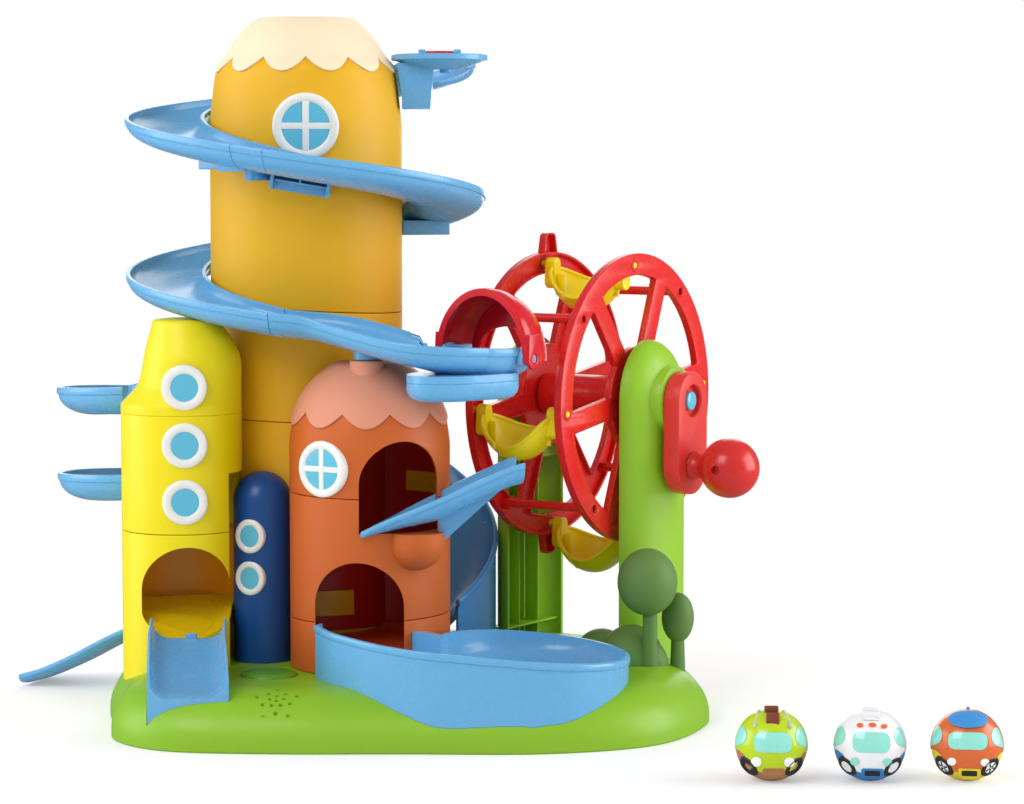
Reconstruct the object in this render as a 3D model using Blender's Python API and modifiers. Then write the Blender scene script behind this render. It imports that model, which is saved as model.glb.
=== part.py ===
"""Toy car playset: stacked towers, a spiral slide, a lift wheel and three ball cars.

Metres. X runs to the right, Y away from the player, Z up. The origin is the middle of
the underside of the base. Every sub-part is one object.
"""

import math

import bmesh
import bpy
from mathutils import Matrix, Vector

# Fits and wall thicknesses.
GAP = 0.0003
WALL = 0.0025
SLIDE_WALL = 0.0024
RIM_BEAD = 0.0016
RIM_BEAD_HEIGHT = 0.0032
PIN_CLEARANCE = 0.0004

# Base, a hollow pebble shape.
BASE_HEIGHT = 0.050
BASE_SIDE = 0.008
BASE_SLOPE = 0.055
BASE_WALL = 0.003
BASE_SPINE = ((-0.17, -0.04), (0.16, -0.03))
BASE_OUTLINE = (
    (0.000, -0.225), (0.130, -0.224), (0.225, -0.185), (0.272, -0.100),
    (0.277, -0.030), (0.262, 0.050), (0.215, 0.130), (0.130, 0.188),
    (0.000, 0.205), (-0.130, 0.205), (-0.220, 0.170), (-0.270, 0.080),
    (-0.277, -0.015), (-0.264, -0.095), (-0.254, -0.165), (-0.205, -0.212),
    (-0.110, -0.225),
)
PLATE_THICKNESS = 0.002

SPEAKER_PLACE = (-0.108, -0.2005)
SPEAKER_RADIUS = 0.016
SPEAKER_HOLE = 0.0017
SPEAKER_DEPTH = 0.010
BUTTON_PLACE = (-0.1215, -0.1095)
BUTTON_RADIUS = 0.0255
BUTTON_PROUD = 0.0035
BUTTON_TRAVEL = 0.003
MODULE_SIZE = (0.080, 0.052, 0.026)
DOOR_SIZE = (0.064, 0.040)

TOWER_STEPS = 24
LEMON_STEPS = 20
WINDOW_STEPS = 14
WHEEL_STEPS = 30

# Amber main tower.
AMBER_AXIS = (-0.098, 0.070)
AMBER_RADIUS = 0.0908
AMBER_SEAMS = (0.270, 0.374)
AMBER_DOME = (
    (0.0439, 0.6441), (0.0650, 0.6250), (0.0757, 0.6092), (0.0863, 0.5862), (0.0908, 0.5450),
)
ROOF_SKIN = 0.0020
AMBER_LOBES = 12
AMBER_ROOF_DROP = 0.0356
AMBER_LOBE_DEPTH = 0.0130
AMBER_LOBE_CUSP = AMBER_DOME[0][1] - AMBER_ROOF_DROP
AMBER_LOBE_LOW = AMBER_LOBE_CUSP - AMBER_LOBE_DEPTH
AMBER_WINDOW_HEIGHT = 0.544
AMBER_WINDOW_RADIUS = 0.0306
AMBER_WINDOW_TURN = 3.7

# Lemon tower.
LEMON_AXIS = (-0.2075, -0.030)
LEMON_RADIUS = 0.0555
LEMON_SEAMS = (0.1736, 0.2818)
LEMON_TURN = 9.0
LEMON_PORTHOLES = (0.3078, 0.2552, 0.2035)
PORTHOLE_RADIUS = 0.0206
LEMON_TOP = (
    (0.2900, 0.0555, 0.0555), (0.3080, 0.0388, 0.0555), (0.3310, 0.0342, 0.0550),
    (0.3480, 0.0305, 0.0480), (0.3580, 0.0275, 0.0410), (0.3655, 0.0260, 0.0360),
)
LEMON_ARCH_TURN = 11.0
LEMON_ARCH_HALF = 0.0406
LEMON_ARCH_TOP = 0.162
LEMON_ARCH_SILL = 0.103
LEMON_ARCH_LIP = 0.078
LEMON_FLOOR_RISE = 0.024

# Dark blue tower.
BLUE_AXIS = (-0.134, -0.023)
BLUE_RADIUS = 0.027
BLUE_TOP = 0.226
BLUE_TURN = -22.0
BLUE_PORTHOLES = (0.168, 0.129)
BLUE_PORTHOLE_RADIUS = 0.0155

# Orange building.
ORANGE_AXIS = (-0.033, -0.050)
ORANGE_RADIUS = 0.0735
ORANGE_SEAMS = (0.0986, 0.210)
ORANGE_DOME = (
    (0.0300, 0.3275), (0.0520, 0.3110), (0.0650, 0.2920), (0.0712, 0.2720), (0.0735, 0.2550),
)
ORANGE_LOBES = 10
ORANGE_LOBE_LOW = 0.2740
ORANGE_LOBE_CUSP = 0.2866
UPPER_ARCH_TURN = 27.0
UPPER_ARCH_HALF = 0.039
UPPER_ARCH_FLOOR = 0.168
UPPER_ARCH_TOP = 0.2617
LOWER_ARCH_TURN = -6.5
LOWER_ARCH_HALF = 0.0405
LOWER_ARCH_FLOOR = 0.0735
LOWER_ARCH_TOP = 0.1531
ORANGE_WINDOW_TURN = -33.0
ORANGE_WINDOW_HEIGHT = 0.2366
ORANGE_WINDOW_RADIUS = 0.0256
BOSS_RADIUS = 0.025
BOSS_PLACE = (0.0117, -0.108, 0.170)
CHIMNEY_PLACE = (-0.034, -0.080)
CHIMNEY_RADIUS = 0.0155
CHIMNEY_TOP = 0.3325
PEG_RADIUS = 0.012

# Main spiral slide round the amber tower.
SLIDE_HALF = 0.036
SLIDE_CLEARANCE = 0.0062
SPIRAL_RADIUS = AMBER_RADIUS + SLIDE_CLEARANCE + SLIDE_HALF
JOINT_GAP = math.degrees(GAP / SPIRAL_RADIUS)
SLIDE_DEPTH = 0.0235
SPIRAL_START = (20.0, 0.6080)
SPIRAL_TURN = (180.0, 0.5558)
SPIRAL_PITCH = 0.1462
SPIRAL_JOINT = 437.0
SPIRAL_END = 622.0
SPIRAL_STEP = 15.0

# Loading platform at the top of the spiral.
PLATFORM_PLACE = (0.0290, 0.070)
PLATFORM_RADIUS = 0.0460
PLATFORM_RIM = 0.6120
PLATFORM_DEPTH = 0.0135
PLATFORM_BOX = (0.0216, 0.040, 0.0514)
FLAP_SIZE = (0.026, 0.030, 0.0022)
FLAP_PIN = 0.0016

# Lift wheel. Its axle runs level, turned from +X toward the player.
WHEEL_CENTRE = (0.1725, 0.0750, 0.2880)
AXLE_TURN = 33.0
WHEEL_RADIUS = 0.137
RIM_WIDTH = 0.0205
RIM_OFFSET = 0.0495
RIM_PLATE = 0.0030
RIM_FLANGE = 0.0080
HUB_RADIUS = 0.049
SPOKE_WIDTH = 0.020
SPOKES = 6
SPOKE_START = 8.0
PIVOT_RADIUS = 0.1260
PIVOT_START = 3.0
BUCKETS = 4
PIVOT_PIN = 0.0030
PIN_SIDES = 6
PIVOT_HOLE = (PIVOT_PIN + PIN_CLEARANCE) / math.cos(math.pi / PIN_SIDES)
TUBE_RADIUS = 0.0042
BOLT_HOLE = 0.0022
BOLT_DEPTH = 0.016
TUBE_START = 51.0
DRUM_RADIUS = 0.020
COLLAR_RADIUS = 0.013
SHAFT_RADIUS = 0.008
TAB_HEIGHT = 0.018
TAB_HALF = 0.0125
TAB_THICKNESS = 0.008

BUCKET_HALF = 0.0375
BUCKET_ACROSS = 0.0330
BUCKET_DEPTH = 0.0410
BUCKET_DROP = 0.0040
BUCKET_DIP = 0.0135
BUCKET_ENTRY_DIP = 0.0280
BUCKET_EAR = 0.0055
EAR_CLEARANCE = 0.0006
BUCKET_STEPS = 6

# Posts that carry the wheel.
POST_HALF = 0.050
POST_BULGE = 0.029
POST_DOME = 0.056
POST_INNER = 0.0625
POST_WALL = 0.0035
POST_BOSS = 0.032
POST_BOSS_OUT = 0.0335
POST_CAVITY_TOP = 0.225

# Crank.
CRANK_HALF = 0.027
CRANK_THICKNESS = 0.017
CRANK_ARM = 0.061
KNOB_RADIUS = 0.028
KNOB_REACH = 0.039
NECK_RADIUS = 0.0115
SCREW_RADIUS = 0.0088
SCREW_WELL = (0.0148, 0.0060)
KNOB_PIN = 0.0055
DIMPLE_RADIUS = 0.0040
DIMPLE_DEPTH = 0.006

# End tray and hood, in line with the wheel.
HOOD_CENTRE = (0.0750, -0.0750, 0.3350)
HOOD_HALF = 0.050
HOOD_HEIGHT = 0.062
HOOD_REACH = 0.062
HOOD_BACK = 0.036
HOOD_WALL = 0.0026
HOOD_EAR = 0.0105
HOOD_PIN = 0.0040
EAR_OUT = 0.0450
TRAY_RIM = 0.3450
TRAY_DEPTH = 0.034
HOOD_RELIEF = ((-0.0340, 0.0060, -0.0600), (-0.0110, 0.0300, -0.0380))
PAN_OUTLINE = (
    (0.0190, -0.1260), (0.0300, -0.1430), (0.0520, -0.1460), (0.0780, -0.1310), (0.0970, -0.1120),
    (0.1000, -0.0970), (0.0900, -0.0800), (0.0690, -0.0630), (0.0490, -0.0610), (0.0320, -0.0790), (0.0220, -0.1010),
)
PAN_LEVELS = ((0.3220, 1.0), (0.3080, 1.0), (0.3025, 0.95), (0.2990, 0.82))

# Blue basin at the front.
BOWL_PLACE = (0.116, -0.135)
BOWL_RADIUS = 0.0830
BOWL_FLOOR = 0.0545
BASIN_WALL = 0.0026
BASIN_LEFT = 0.0975
BASIN_RIGHT = 0.0727
BASIN_OUTLINE = (
    (-0.0790, -0.1240), (-0.0640, -0.1570), (-0.0438, -0.1810), (-0.0200, -0.2020),
    (0.0060, -0.2155), (0.0340, -0.2222), (0.0760, -0.2232), (0.1174, -0.2222),
)
BASIN_BACK = (
    (0.0240, -0.1040), (ORANGE_AXIS[0] + 0.030, ORANGE_AXIS[1] - 0.050),
    (ORANGE_AXIS[0] - 0.036, ORANGE_AXIS[1] - 0.046),
)
CHANNEL_BACK = (
    (0.0600, -0.1500), (0.0360, -0.1320), (0.0100, -0.1130), (-0.0050, -0.1050),
    (ORANGE_AXIS[0] - 0.034, ORANGE_AXIS[1] - 0.044),
)

# Small slides.
RAMP_PATH = (
    (-0.0170, -0.1020, 0.1830), (0.0150, -0.1080, 0.1900), (0.0500, -0.1060, 0.2030),
    (0.0830, -0.1030, 0.2170), (0.1060, -0.1000, 0.2290),
)
RAMP_HALF = 0.028
RAMP_DEPTH = 0.018
CHUTE_RADIUS = 0.1370
CHUTE_HALF = 0.0430
CHUTE_DEPTH = 0.036
CHUTE_HEIGHTS = ((80.0, 0.240), (45.0, 0.2145), (19.0, 0.176), (-5.0, 0.152), (-38.0, 0.105))
LOOP_RIMS = (0.3000, 0.2184)
LOOP_CENTRE = (-0.245, 0.066)
LOOP_RADIUS = 0.055
LOOP_HALF = 0.034
LOOP_DEPTH = 0.027
EXIT_PATH = (
    (-0.200, 0.085, 0.086), (-0.240, 0.098, 0.074), (-0.280, 0.112, 0.056),
    (-0.320, 0.126, 0.034), (-0.352, 0.137, 0.019), (-0.372, 0.144, 0.0125),
)
EXIT_HALF = 0.034
EXIT_DEPTH = 0.012
FRONT_CHUTE = ((-0.1965, -0.0880, 0.0800), (-0.1950, -0.1250, 0.0660),
               (-0.1935, -0.1650, 0.0500), (-0.1925, -0.2000, 0.0400))
FRONT_HALF = (0.0345, 0.0360, 0.0370, 0.0375)
FRONT_WALL_TOP = (0.0960, 0.0900, 0.0700, 0.0520)

# Trees and bush: (x, y, z, radius, height share).
TREE_BALLS = (
    ((0.2215, -0.0600, 0.1275), 0.0275, 1.12),
    ((0.2510, -0.0330, 0.0905), 0.0150, 1.55),
)
TREE_TRUNKS = (
    ((0.2240, -0.0600), 0.0075, 0.110),
    ((0.2510, -0.0330), 0.0068, 0.080),
)
BUSHES = (
    ((0.2080, -0.0350, 0.0500), 0.0310, 1.12),
    ((0.1820, 0.0080, 0.0500), 0.0250, 0.95),
)

# Ball cars.
CAR_RADIUS = 0.0302
CAR_PLACES = (0.3128, 0.3947, 0.4753)
CAR_ROW = -0.330
CAR_BELT = 0.0250
CAR_FOOT = 0.0012
ROOF_BLOCK = (0.0068, 0.0205, 0.0640)
LIGHT_BAR = (0.0085, 0.0150, 0.0640)
CAP_RADIUS = (0.0172, 0.0062)
CAP_STALK = (0.0014, 0.0655)

PAINTS = {
    "grass green": ("#8CBE2B", 0.42),
    "dark grass green": ("#5E9A1E", 0.42),
    "amber yellow": ("#E3AE1C", 0.45),
    "cream": ("#FBEBCD", 0.5),
    "white": ("#F4F6F4", 0.35),
    "lemon yellow": ("#F4E41C", 0.4),
    "deep blue": ("#23558F", 0.4),
    "burnt orange": ("#C9682F", 0.45),
    "peach": ("#E09A7A", 0.5),
    "sun yellow": ("#F0D818", 0.4),
    "sky blue": ("#5FA6DB", 0.35),
    "steel blue": ("#4A7FB4", 0.4),
    "cherry red": ("#D8202A", 0.35),
    "leaf green": ("#64884A", 0.55),
    "black": ("#1D1D1F", 0.5),
    "lime": ("#A9CC33", 0.4),
    "brown": ("#8A5A33", 0.5),
    "bright blue": ("#2F7FC4", 0.4),
    "bright orange": ("#F07B2A", 0.4),
}


def clear_scene():
    for old in list(bpy.data.objects):
        bpy.data.objects.remove(old)


def new_collection(name):
    made = bpy.data.collections.new(name)
    bpy.context.scene.collection.children.link(made)
    return made


clear_scene()
PARTS = new_collection("toy_car_playset")
CUTTERS = new_collection("cutters")


def linear(value):
    return value / 12.92 if value <= 0.04045 else ((value + 0.055) / 1.055) ** 2.4


def paint_of(name):
    """The plastic of this colour, made once."""
    if name in bpy.data.materials:
        return bpy.data.materials[name]
    code, roughness = PAINTS[name]
    plastic = bpy.data.materials.new(name)
    plastic.use_nodes = True
    shader = plastic.node_tree.nodes["Principled BSDF"]
    channels = [linear(int(code[i:i + 2], 16) / 255) for i in (1, 3, 5)]
    shader.inputs["Base Color"].default_value = (*channels, 1)
    shader.inputs["Roughness"].default_value = roughness
    shader.inputs["Metallic"].default_value = 0.0
    plastic.diffuse_color = (*channels, 1)
    return plastic


def place(name, mesh, paint=None, location=(0, 0, 0), rotation=(0, 0, 0), parent=None):
    """An object of this mesh. Without a paint it is a cutter, left out of the model."""
    obj = bpy.data.objects.new(name, mesh)
    obj.location = location
    obj.rotation_euler = rotation
    obj.parent = parent
    if paint:
        PARTS.objects.link(obj)
        mesh.materials.append(paint_of(paint))
        mesh.shade_smooth()
        mesh.set_sharp_from_angle(angle=math.radians(35))
    else:
        CUTTERS.objects.link(obj)
        obj.hide_render = True
        obj.display_type = "WIRE"
    return obj


def finish_mesh(bm, name, faces_out=True):
    if faces_out:
        bmesh.ops.recalc_face_normals(bm, faces=bm.faces)
    mesh = bpy.data.meshes.new(name)
    bm.to_mesh(mesh)
    bm.free()
    return mesh


def boolean(obj, tool, operation):
    modifier = obj.modifiers.new(f"{operation.lower()} {tool.name}", "BOOLEAN")
    modifier.operation = operation
    modifier.object = tool
    return obj


def cut(obj, *tools):
    for tool in tools:
        boolean(obj, tool, "DIFFERENCE")
    return obj


def fuse(obj, *tools):
    for tool in tools:
        boolean(obj, tool, "UNION")
    return obj


def keep_inside(obj, tool):
    return boolean(obj, tool, "INTERSECT")


def turned(name, profile, paint=None, steps=32, **where):
    """A profile (radius, height) turned about the object's Z. A profile that starts and ends
    on the axis is a solid; any other is closed into a ring."""
    points = [(r, 0, z) for r, z in profile]
    edges = [(i, i + 1) for i in range(len(points) - 1)]
    if profile[0][0] > 0:
        edges.append((len(points) - 1, 0))
    mesh = bpy.data.meshes.new(name)
    mesh.from_pydata(points, edges, [])
    obj = place(name, mesh, paint, **where)
    screw = obj.modifiers.new("turn", "SCREW")
    screw.steps = screw.render_steps = steps
    screw.use_merge_vertices = True
    screw.merge_threshold = 0.00001
    return obj


def rod(name, radius, low, high, paint=None, steps=24, **where):
    """A round rod along the object's Z."""
    return turned(name, [(0, high), (radius, high), (radius, low), (0, low)], paint, steps, **where)


def box(name, low, high, paint=None, **where):
    bm = bmesh.new()
    size = [h - l for l, h in zip(low, high)]
    middle = [(h + l) / 2 for l, h in zip(low, high)]
    bmesh.ops.create_cube(bm, size=1, matrix=Matrix.Translation(middle) @ Matrix.Diagonal((*size, 1)))
    return place(name, finish_mesh(bm, name), paint, **where)


def ball(name, centre, radii, paint=None, segments=24, rings=12, **where):
    bm = bmesh.new()
    shape = Matrix.Translation(centre) @ Matrix.Diagonal((*radii, 1))
    bmesh.ops.create_uvsphere(bm, u_segments=segments, v_segments=rings, radius=1, matrix=shape)
    return place(name, finish_mesh(bm, name), paint, **where)


def plate(name, outlines, low, high, paint=None, **where):
    """A flat outline, with any holes after it, between two heights."""
    curve = bpy.data.curves.new(name, "CURVE")
    curve.dimensions = "2D"
    curve.fill_mode = "BOTH"
    curve.extrude = (high - low) / 2
    for outline in outlines:
        spline = curve.splines.new("POLY")
        spline.points.add(len(outline) - 1)
        for point, (x, y) in zip(spline.points, outline):
            point.co = (x, y, 0, 1)
        spline.use_cyclic_u = True
    flat = bpy.data.objects.new(name + " outline", curve)
    bpy.context.scene.collection.objects.link(flat)
    graph = bpy.context.evaluated_depsgraph_get()
    made = bpy.data.meshes.new_from_object(flat.evaluated_get(graph))
    bpy.data.objects.remove(flat)
    bm = bmesh.new()
    bm.from_mesh(made)
    bmesh.ops.remove_doubles(bm, verts=bm.verts, dist=0.000001)
    bmesh.ops.translate(bm, verts=bm.verts, vec=(0, 0, (low + high) / 2))
    return place(name, finish_mesh(bm, name), paint, **where)


def loft(name, sections, paint=None, ring=False, **where):
    """A skin through closed sections of like points, capped at its ends or joined in a ring."""
    bm = bmesh.new()
    rows = [[bm.verts.new(point) for point in section] for section in sections]
    following = rows[1:] + rows[:1] if ring else rows[1:]
    for row, after in zip(rows, following):
        for i in range(len(row)):
            j = (i + 1) % len(row)
            bm.faces.new((row[i], row[j], after[j], after[i]))
    if not ring:
        bm.faces.new(rows[0])
        bm.faces.new(rows[-1])
    return place(name, finish_mesh(bm, name), paint, **where)


def arc(centre, radius, start, end, count):
    """Points of an arc in degrees, both ends included. The radius may be a pair."""
    wide, tall = radius if isinstance(radius, tuple) else (radius, radius)
    turns = [math.radians(start + (end - start) * i / count) for i in range(count + 1)]
    return [(centre[0] + wide * math.cos(t), centre[1] + tall * math.sin(t)) for t in turns]


def circle(centre, radius, count):
    return arc(centre, radius, 0, 360, count)[:-1]


def smooth(points, per_span, closed=False):
    """A smooth run through the points, with this many steps in each span."""
    points = [Vector(p) for p in points]
    count = len(points)
    out = []
    for i in range(count if closed else count - 1):
        if closed:
            a, b, c, d = (points[(i + k - 1) % count] for k in range(4))
        else:
            b, c = points[i], points[i + 1]
            a = points[i - 1] if i else b + (b - c)
            d = points[i + 2] if i + 2 < count else c + (c - b)
        for k in range(per_span):
            t = k / per_span
            out.append(0.5 * (2 * b + (c - a) * t + (2 * a - 5 * b + 4 * c - d) * t * t
                              + (3 * b - a - 3 * c + d) * t ** 3))
    if not closed:
        out.append(points[-1])
    return out


def between(pairs, at):
    """The value at a place on a broken line of (place, value) pairs."""
    pairs = sorted(pairs)
    if at <= pairs[0][0]:
        return pairs[0][1]
    for (x0, y0), (x1, y1) in zip(pairs, pairs[1:]):
        if at <= x1:
            return y0 + (y1 - y0) * (at - x0) / (x1 - x0)
    return pairs[-1][1]


def trough_section(half, depth, wall=SLIDE_WALL, steps=4):
    """Half-pipe with a small bead along each rim, as (across, up) points from the rim line."""
    turns = [math.pi * i / steps for i in range(steps + 1)]
    outside = [(half * math.cos(t), -RIM_BEAD_HEIGHT - (depth - RIM_BEAD_HEIGHT) * math.sin(t))
               for t in turns]
    inside = [((half - wall) * math.cos(t), -RIM_BEAD_HEIGHT - (depth - RIM_BEAD_HEIGHT - wall) * math.sin(t))
              for t in reversed(turns)]
    right = [(half - wall, 0), (half + RIM_BEAD, 0)]
    left = [(-half - RIM_BEAD, 0), (-half + wall, 0)]
    return right + outside + left + inside


def form_section(half, depth, steps=4):
    """The same half-pipe's outside, grown by the gap and filled up well above its rims."""
    wide, above = half + RIM_BEAD + GAP, 0.040
    turns = [math.pi * i / steps for i in range(steps + 1)]
    low = -RIM_BEAD_HEIGHT - GAP
    under = [((half + GAP * 1.5) * math.cos(t), low - (depth - RIM_BEAD_HEIGHT + GAP) * math.sin(t)) for t in turns]
    return [(wide, above), (wide, low)] + under + [(-wide, low), (-wide, above)]


def headings(path):
    """The level direction of travel at each point of a path."""
    out = []
    for i in range(len(path)):
        ahead = path[min(i + 1, len(path) - 1)] - path[max(i - 1, 0)]
        out.append(Vector((ahead.x, ahead.y, 0)).normalized())
    return out


def sweep(name, path, sections, paint=None, aims=None, **where):
    """Sections (across, up) swept along a path. Across is to the right of travel."""
    rows = []
    for point, heading, section in zip(path, aims or headings(path), sections):
        across = Vector((heading.y, -heading.x, 0))
        rows.append([point + across * s + Vector((0, 0, t)) for s, t in section])
    return loft(name, rows, paint, **where)


def trough(name, path, half, depth, paint, section=trough_section, **where):
    path = [Vector(p) for p in path]
    halves = half if isinstance(half, list) else [half] * len(path)
    depths = depth if isinstance(depth, list) else [depth] * len(path)
    return sweep(name, path, [section(h, d) for h, d in zip(halves, depths)], paint, **where)


def facing(turn):
    """Rotation that points an object's Z level, at this turn from -Y toward +X."""
    return (math.pi / 2, 0, math.radians(turn))


def direction(turn):
    return Vector((math.sin(math.radians(turn)), -math.cos(math.radians(turn)), 0))


def base_rings(grow=0.0):
    """The base's outline at rising heights, grown outward by a clearance."""
    outline = smooth([(x, y, 0) for x, y in BASE_OUTLINE], 2, closed=True)
    start, end = (Vector((x, y, 0)) for x, y in BASE_SPINE)
    run = end - start
    rings = []
    steps = 3
    heights = [(0.0, -grow)] + [(i / steps, None) for i in range(steps + 1)]
    for share, fixed in heights:
        turn = share * math.pi / 2
        inset = BASE_SLOPE * (1 - math.cos(turn)) - grow
        rise = BASE_SIDE + (BASE_HEIGHT - BASE_SIDE) * math.sin(turn) + grow
        height = fixed if fixed is not None else rise
        ring = []
        for point in outline:
            along = max(0.0, min(1.0, (point - start).dot(run) / run.length_squared))
            inward = (start + run * along - point).normalized()
            moved = point + inward * inset
            ring.append(Vector((moved.x, moved.y, height)))
        rings.append(ring)
    return rings


def inset(outline, distance):
    """A closed outline, anticlockwise, moved inward by an even distance."""
    moved = []
    for before, point, after in zip(outline[-1:] + outline[:-1], outline, outline[1:] + outline[:1]):
        first, second = (point - before).normalized(), (after - point).normalized()
        first_in, second_in = Vector((-first.y, first.x)), Vector((-second.y, second.x))
        shift = (first_in + second_in) * distance / (1 + first_in.dot(second_in))
        moved.append((point.x + shift.x, point.y + shift.y))
    return moved


def base_height(x, y):
    """Height of the base's top at a place on it."""
    rings = base_rings()
    place_here = Vector((x, y, 0))
    best = min((((ring_point - place_here).to_2d().length), ring_point.z) for ring in rings for ring_point in ring)
    return best[1]


def speaker_holes():
    """Holes of the sound grille: a middle one and rings round it."""
    holes = [(0, 0)]
    for count, radius, start in ((5, 0.0065, 18), (5, 0.0125, 54), (5, 0.0185, 18)):
        for i in range(count):
            turn = math.radians(start + 360 / count * i)
            holes.append((radius * math.cos(turn), radius * math.sin(turn)))
    return holes


def base():
    """Hollow base, its floor plate and battery door, and the sound parts inside it."""
    bm = bmesh.new()
    rows = [[bm.verts.new(p) for p in ring] for ring in base_rings()]
    for row, after in zip(rows, rows[1:]):
        for i in range(len(row)):
            j = (i + 1) % len(row)
            bm.faces.new((row[i], row[j], after[j], after[i]))
    bm.faces.new(rows[-1])
    shell = place("base_shell", finish_mesh(bm, "base_shell"), "grass green")
    wall = shell.modifiers.new("wall", "SOLIDIFY")
    wall.thickness = BASE_WALL
    wall.offset = -1
    wall.use_even_offset = True

    x, y = SPEAKER_PLACE
    bm = bmesh.new()
    for dx, dy in speaker_holes():
        spot = Matrix.Translation((x + dx, y + dy, BASE_HEIGHT - 0.010))
        bmesh.ops.create_cone(bm, cap_ends=True, segments=5, radius1=SPEAKER_HOLE,
                              radius2=SPEAKER_HOLE, depth=0.040, matrix=spot)
    grille = place("speaker grille cut", finish_mesh(bm, "speaker grille cut"))
    x, y = BUTTON_PLACE
    button_hole = rod("button hole", BUTTON_RADIUS + PIN_CLEARANCE, BASE_HEIGHT - 0.010,
                      BASE_HEIGHT + 0.010, location=(x, y, 0))
    cut(shell, grille, button_hole)

    inner = inset(smooth([(px, py, 0) for px, py in BASE_OUTLINE], 2, closed=True), BASE_WALL + GAP)
    floor = plate("base_plate", [inner], 0, PLATE_THICKNESS, "grass green")
    door_x, door_y = BUTTON_PLACE[0], BUTTON_PLACE[1] + 0.020
    half_x, half_y = DOOR_SIZE[0] / 2, DOOR_SIZE[1] / 2
    opening = box("battery opening", (door_x - half_x - GAP, door_y - half_y - GAP, -0.001),
                  (door_x + half_x + GAP, door_y + half_y + GAP, PLATE_THICKNESS + 0.001))
    cut(floor, opening)
    box("battery_door", (door_x - half_x, door_y - half_y, 0),
        (door_x + half_x, door_y + half_y, PLATE_THICKNESS), "grass green")
    size_x, size_y, size_z = MODULE_SIZE
    box("sound_module", (door_x - size_x / 2, door_y - size_y / 2, PLATE_THICKNESS + GAP),
        (door_x + size_x / 2, door_y + size_y / 2, PLATE_THICKNESS + GAP + size_z), "black")


def sound_button():
    x, y = BUTTON_PLACE
    top = BASE_HEIGHT + BUTTON_PROUD
    stem_low = PLATE_THICKNESS + GAP + MODULE_SIZE[2] + BUTTON_TRAVEL + GAP
    turned("sound_button", [
        (0, top), (BUTTON_RADIUS * 0.8, top - 0.0006), (BUTTON_RADIUS - 0.001, top - 0.0018),
        (BUTTON_RADIUS, BASE_HEIGHT - BASE_WALL - 0.001), (0.006, BASE_HEIGHT - BASE_WALL - 0.004),
        (0.006, stem_low), (0, stem_low),
    ], "dark grass green", 24, location=(x, y, 0))


def speaker():
    x, y = SPEAKER_PLACE
    low = PLATE_THICKNESS + GAP
    top = base_height(x, y - SPEAKER_RADIUS) - BASE_WALL - 0.003
    turned("speaker", [
        (0, top), (SPEAKER_RADIUS, top), (SPEAKER_RADIUS, top - SPEAKER_DEPTH * 0.4),
        (SPEAKER_RADIUS * 0.55, top - SPEAKER_DEPTH), (SPEAKER_RADIUS * 0.55, low), (0, low),
    ], "black", 20, location=(x, y, 0))


def tube_section(name, radius, low, high, paint, location, steps=TOWER_STEPS):
    """A length of round tower wall."""
    return turned(name, [(radius, high), (radius, low), (radius - WALL, low), (radius - WALL, high)],
                  paint, steps, location=location)


def domed_section(name, radius, low, dome, paint, location, steps=TOWER_STEPS):
    """The top length of a tower, with its dome, open below."""
    outside = [(0, dome[0][1])] + list(dome) + [(radius, low)]
    shoulder = dome[-3]
    inside = [(radius - WALL, low), (radius - WALL, dome[-1][1]), (shoulder[0] - WALL, shoulder[1] - WALL),
              (0, shoulder[1] - WALL)]
    return turned(name, outside + inside, paint, steps, location=location)


def scalloped_roof(name, dome, radius, lobes, low, cusp, paint, location, turn):
    """A roof skin laid on a dome, its lower edge hanging in round lobes."""
    profile = [(z, r) for r, z in dome] + [(low - 0.05, radius)]
    per_lobe = 4
    top = dome[0][1]
    upper_levels = [z for _, z in dome if z > cusp]
    kinks = [z for _, z in dome if low < z <= cusp]
    sections = []
    for i in range(lobes * per_lobe):
        share = (i % per_lobe) / per_lobe
        edge = low + (cusp - low) * (1 - math.sin(math.pi * share))
        angle = math.radians(turn) + 2 * math.pi * i / (lobes * per_lobe)
        heights = upper_levels + [max(kink, edge + 0.0004) for kink in kinks] + [edge]
        column = [(0.012, top)] + [(between(profile, z), z) for z in heights]
        last = len(heights)
        skin = [(r + 2 * GAP + ROOF_SKIN * (0.75 if k == last else 1), z + (GAP + ROOF_SKIN if k < 2 else 0))
                for k, (r, z) in enumerate(column)]
        under = [(r + 2 * GAP, z + (GAP if k < 2 else 0)) for k, (r, z) in enumerate(column)]
        loop = skin + under[::-1]
        sections.append([(r * math.cos(angle), r * math.sin(angle), z) for r, z in loop])
    roof = loft(name, sections, paint, ring=True, location=location)
    cap = rod(name + " cap", 0.016, top + GAP, top + GAP + ROOF_SKIN, steps=16, location=location)
    return fuse(roof, cap)


def window_parts(name, radius, tower_radius, pane_share, bars, axis, height, turn):
    """A round window: raised frame round a sunk pane, seated in a hole of the tower wall."""
    back = math.sqrt(tower_radius ** 2 - radius ** 2) - 0.0035
    face = tower_radius + 0.0020
    pane = tower_radius - 0.0012
    pane_radius = radius * pane_share
    where = {"location": (*axis, height), "rotation": facing(turn)}
    window = turned(name, [
        (0, pane), (pane_radius, pane), (pane_radius + 0.0010, face), (radius - 0.0010, face),
        (radius, back), (0, back),
    ], "white", WINDOW_STEPS, **where)
    if bars:
        half = radius * 0.105
        reach = pane_radius + 0.0008
        upright = box(name + " upright bar", (-half, -reach, pane - 0.001), (half, reach, face - 0.0006), **where)
        level = box(name + " level bar", (-reach, -half, pane - 0.001), (reach, half, face - 0.0008), **where)
        fuse(window, upright, level)
    hole = rod(name + " hole", radius + GAP, back - 0.012, face + 0.03, steps=WINDOW_STEPS, **where)
    return hole


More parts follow.
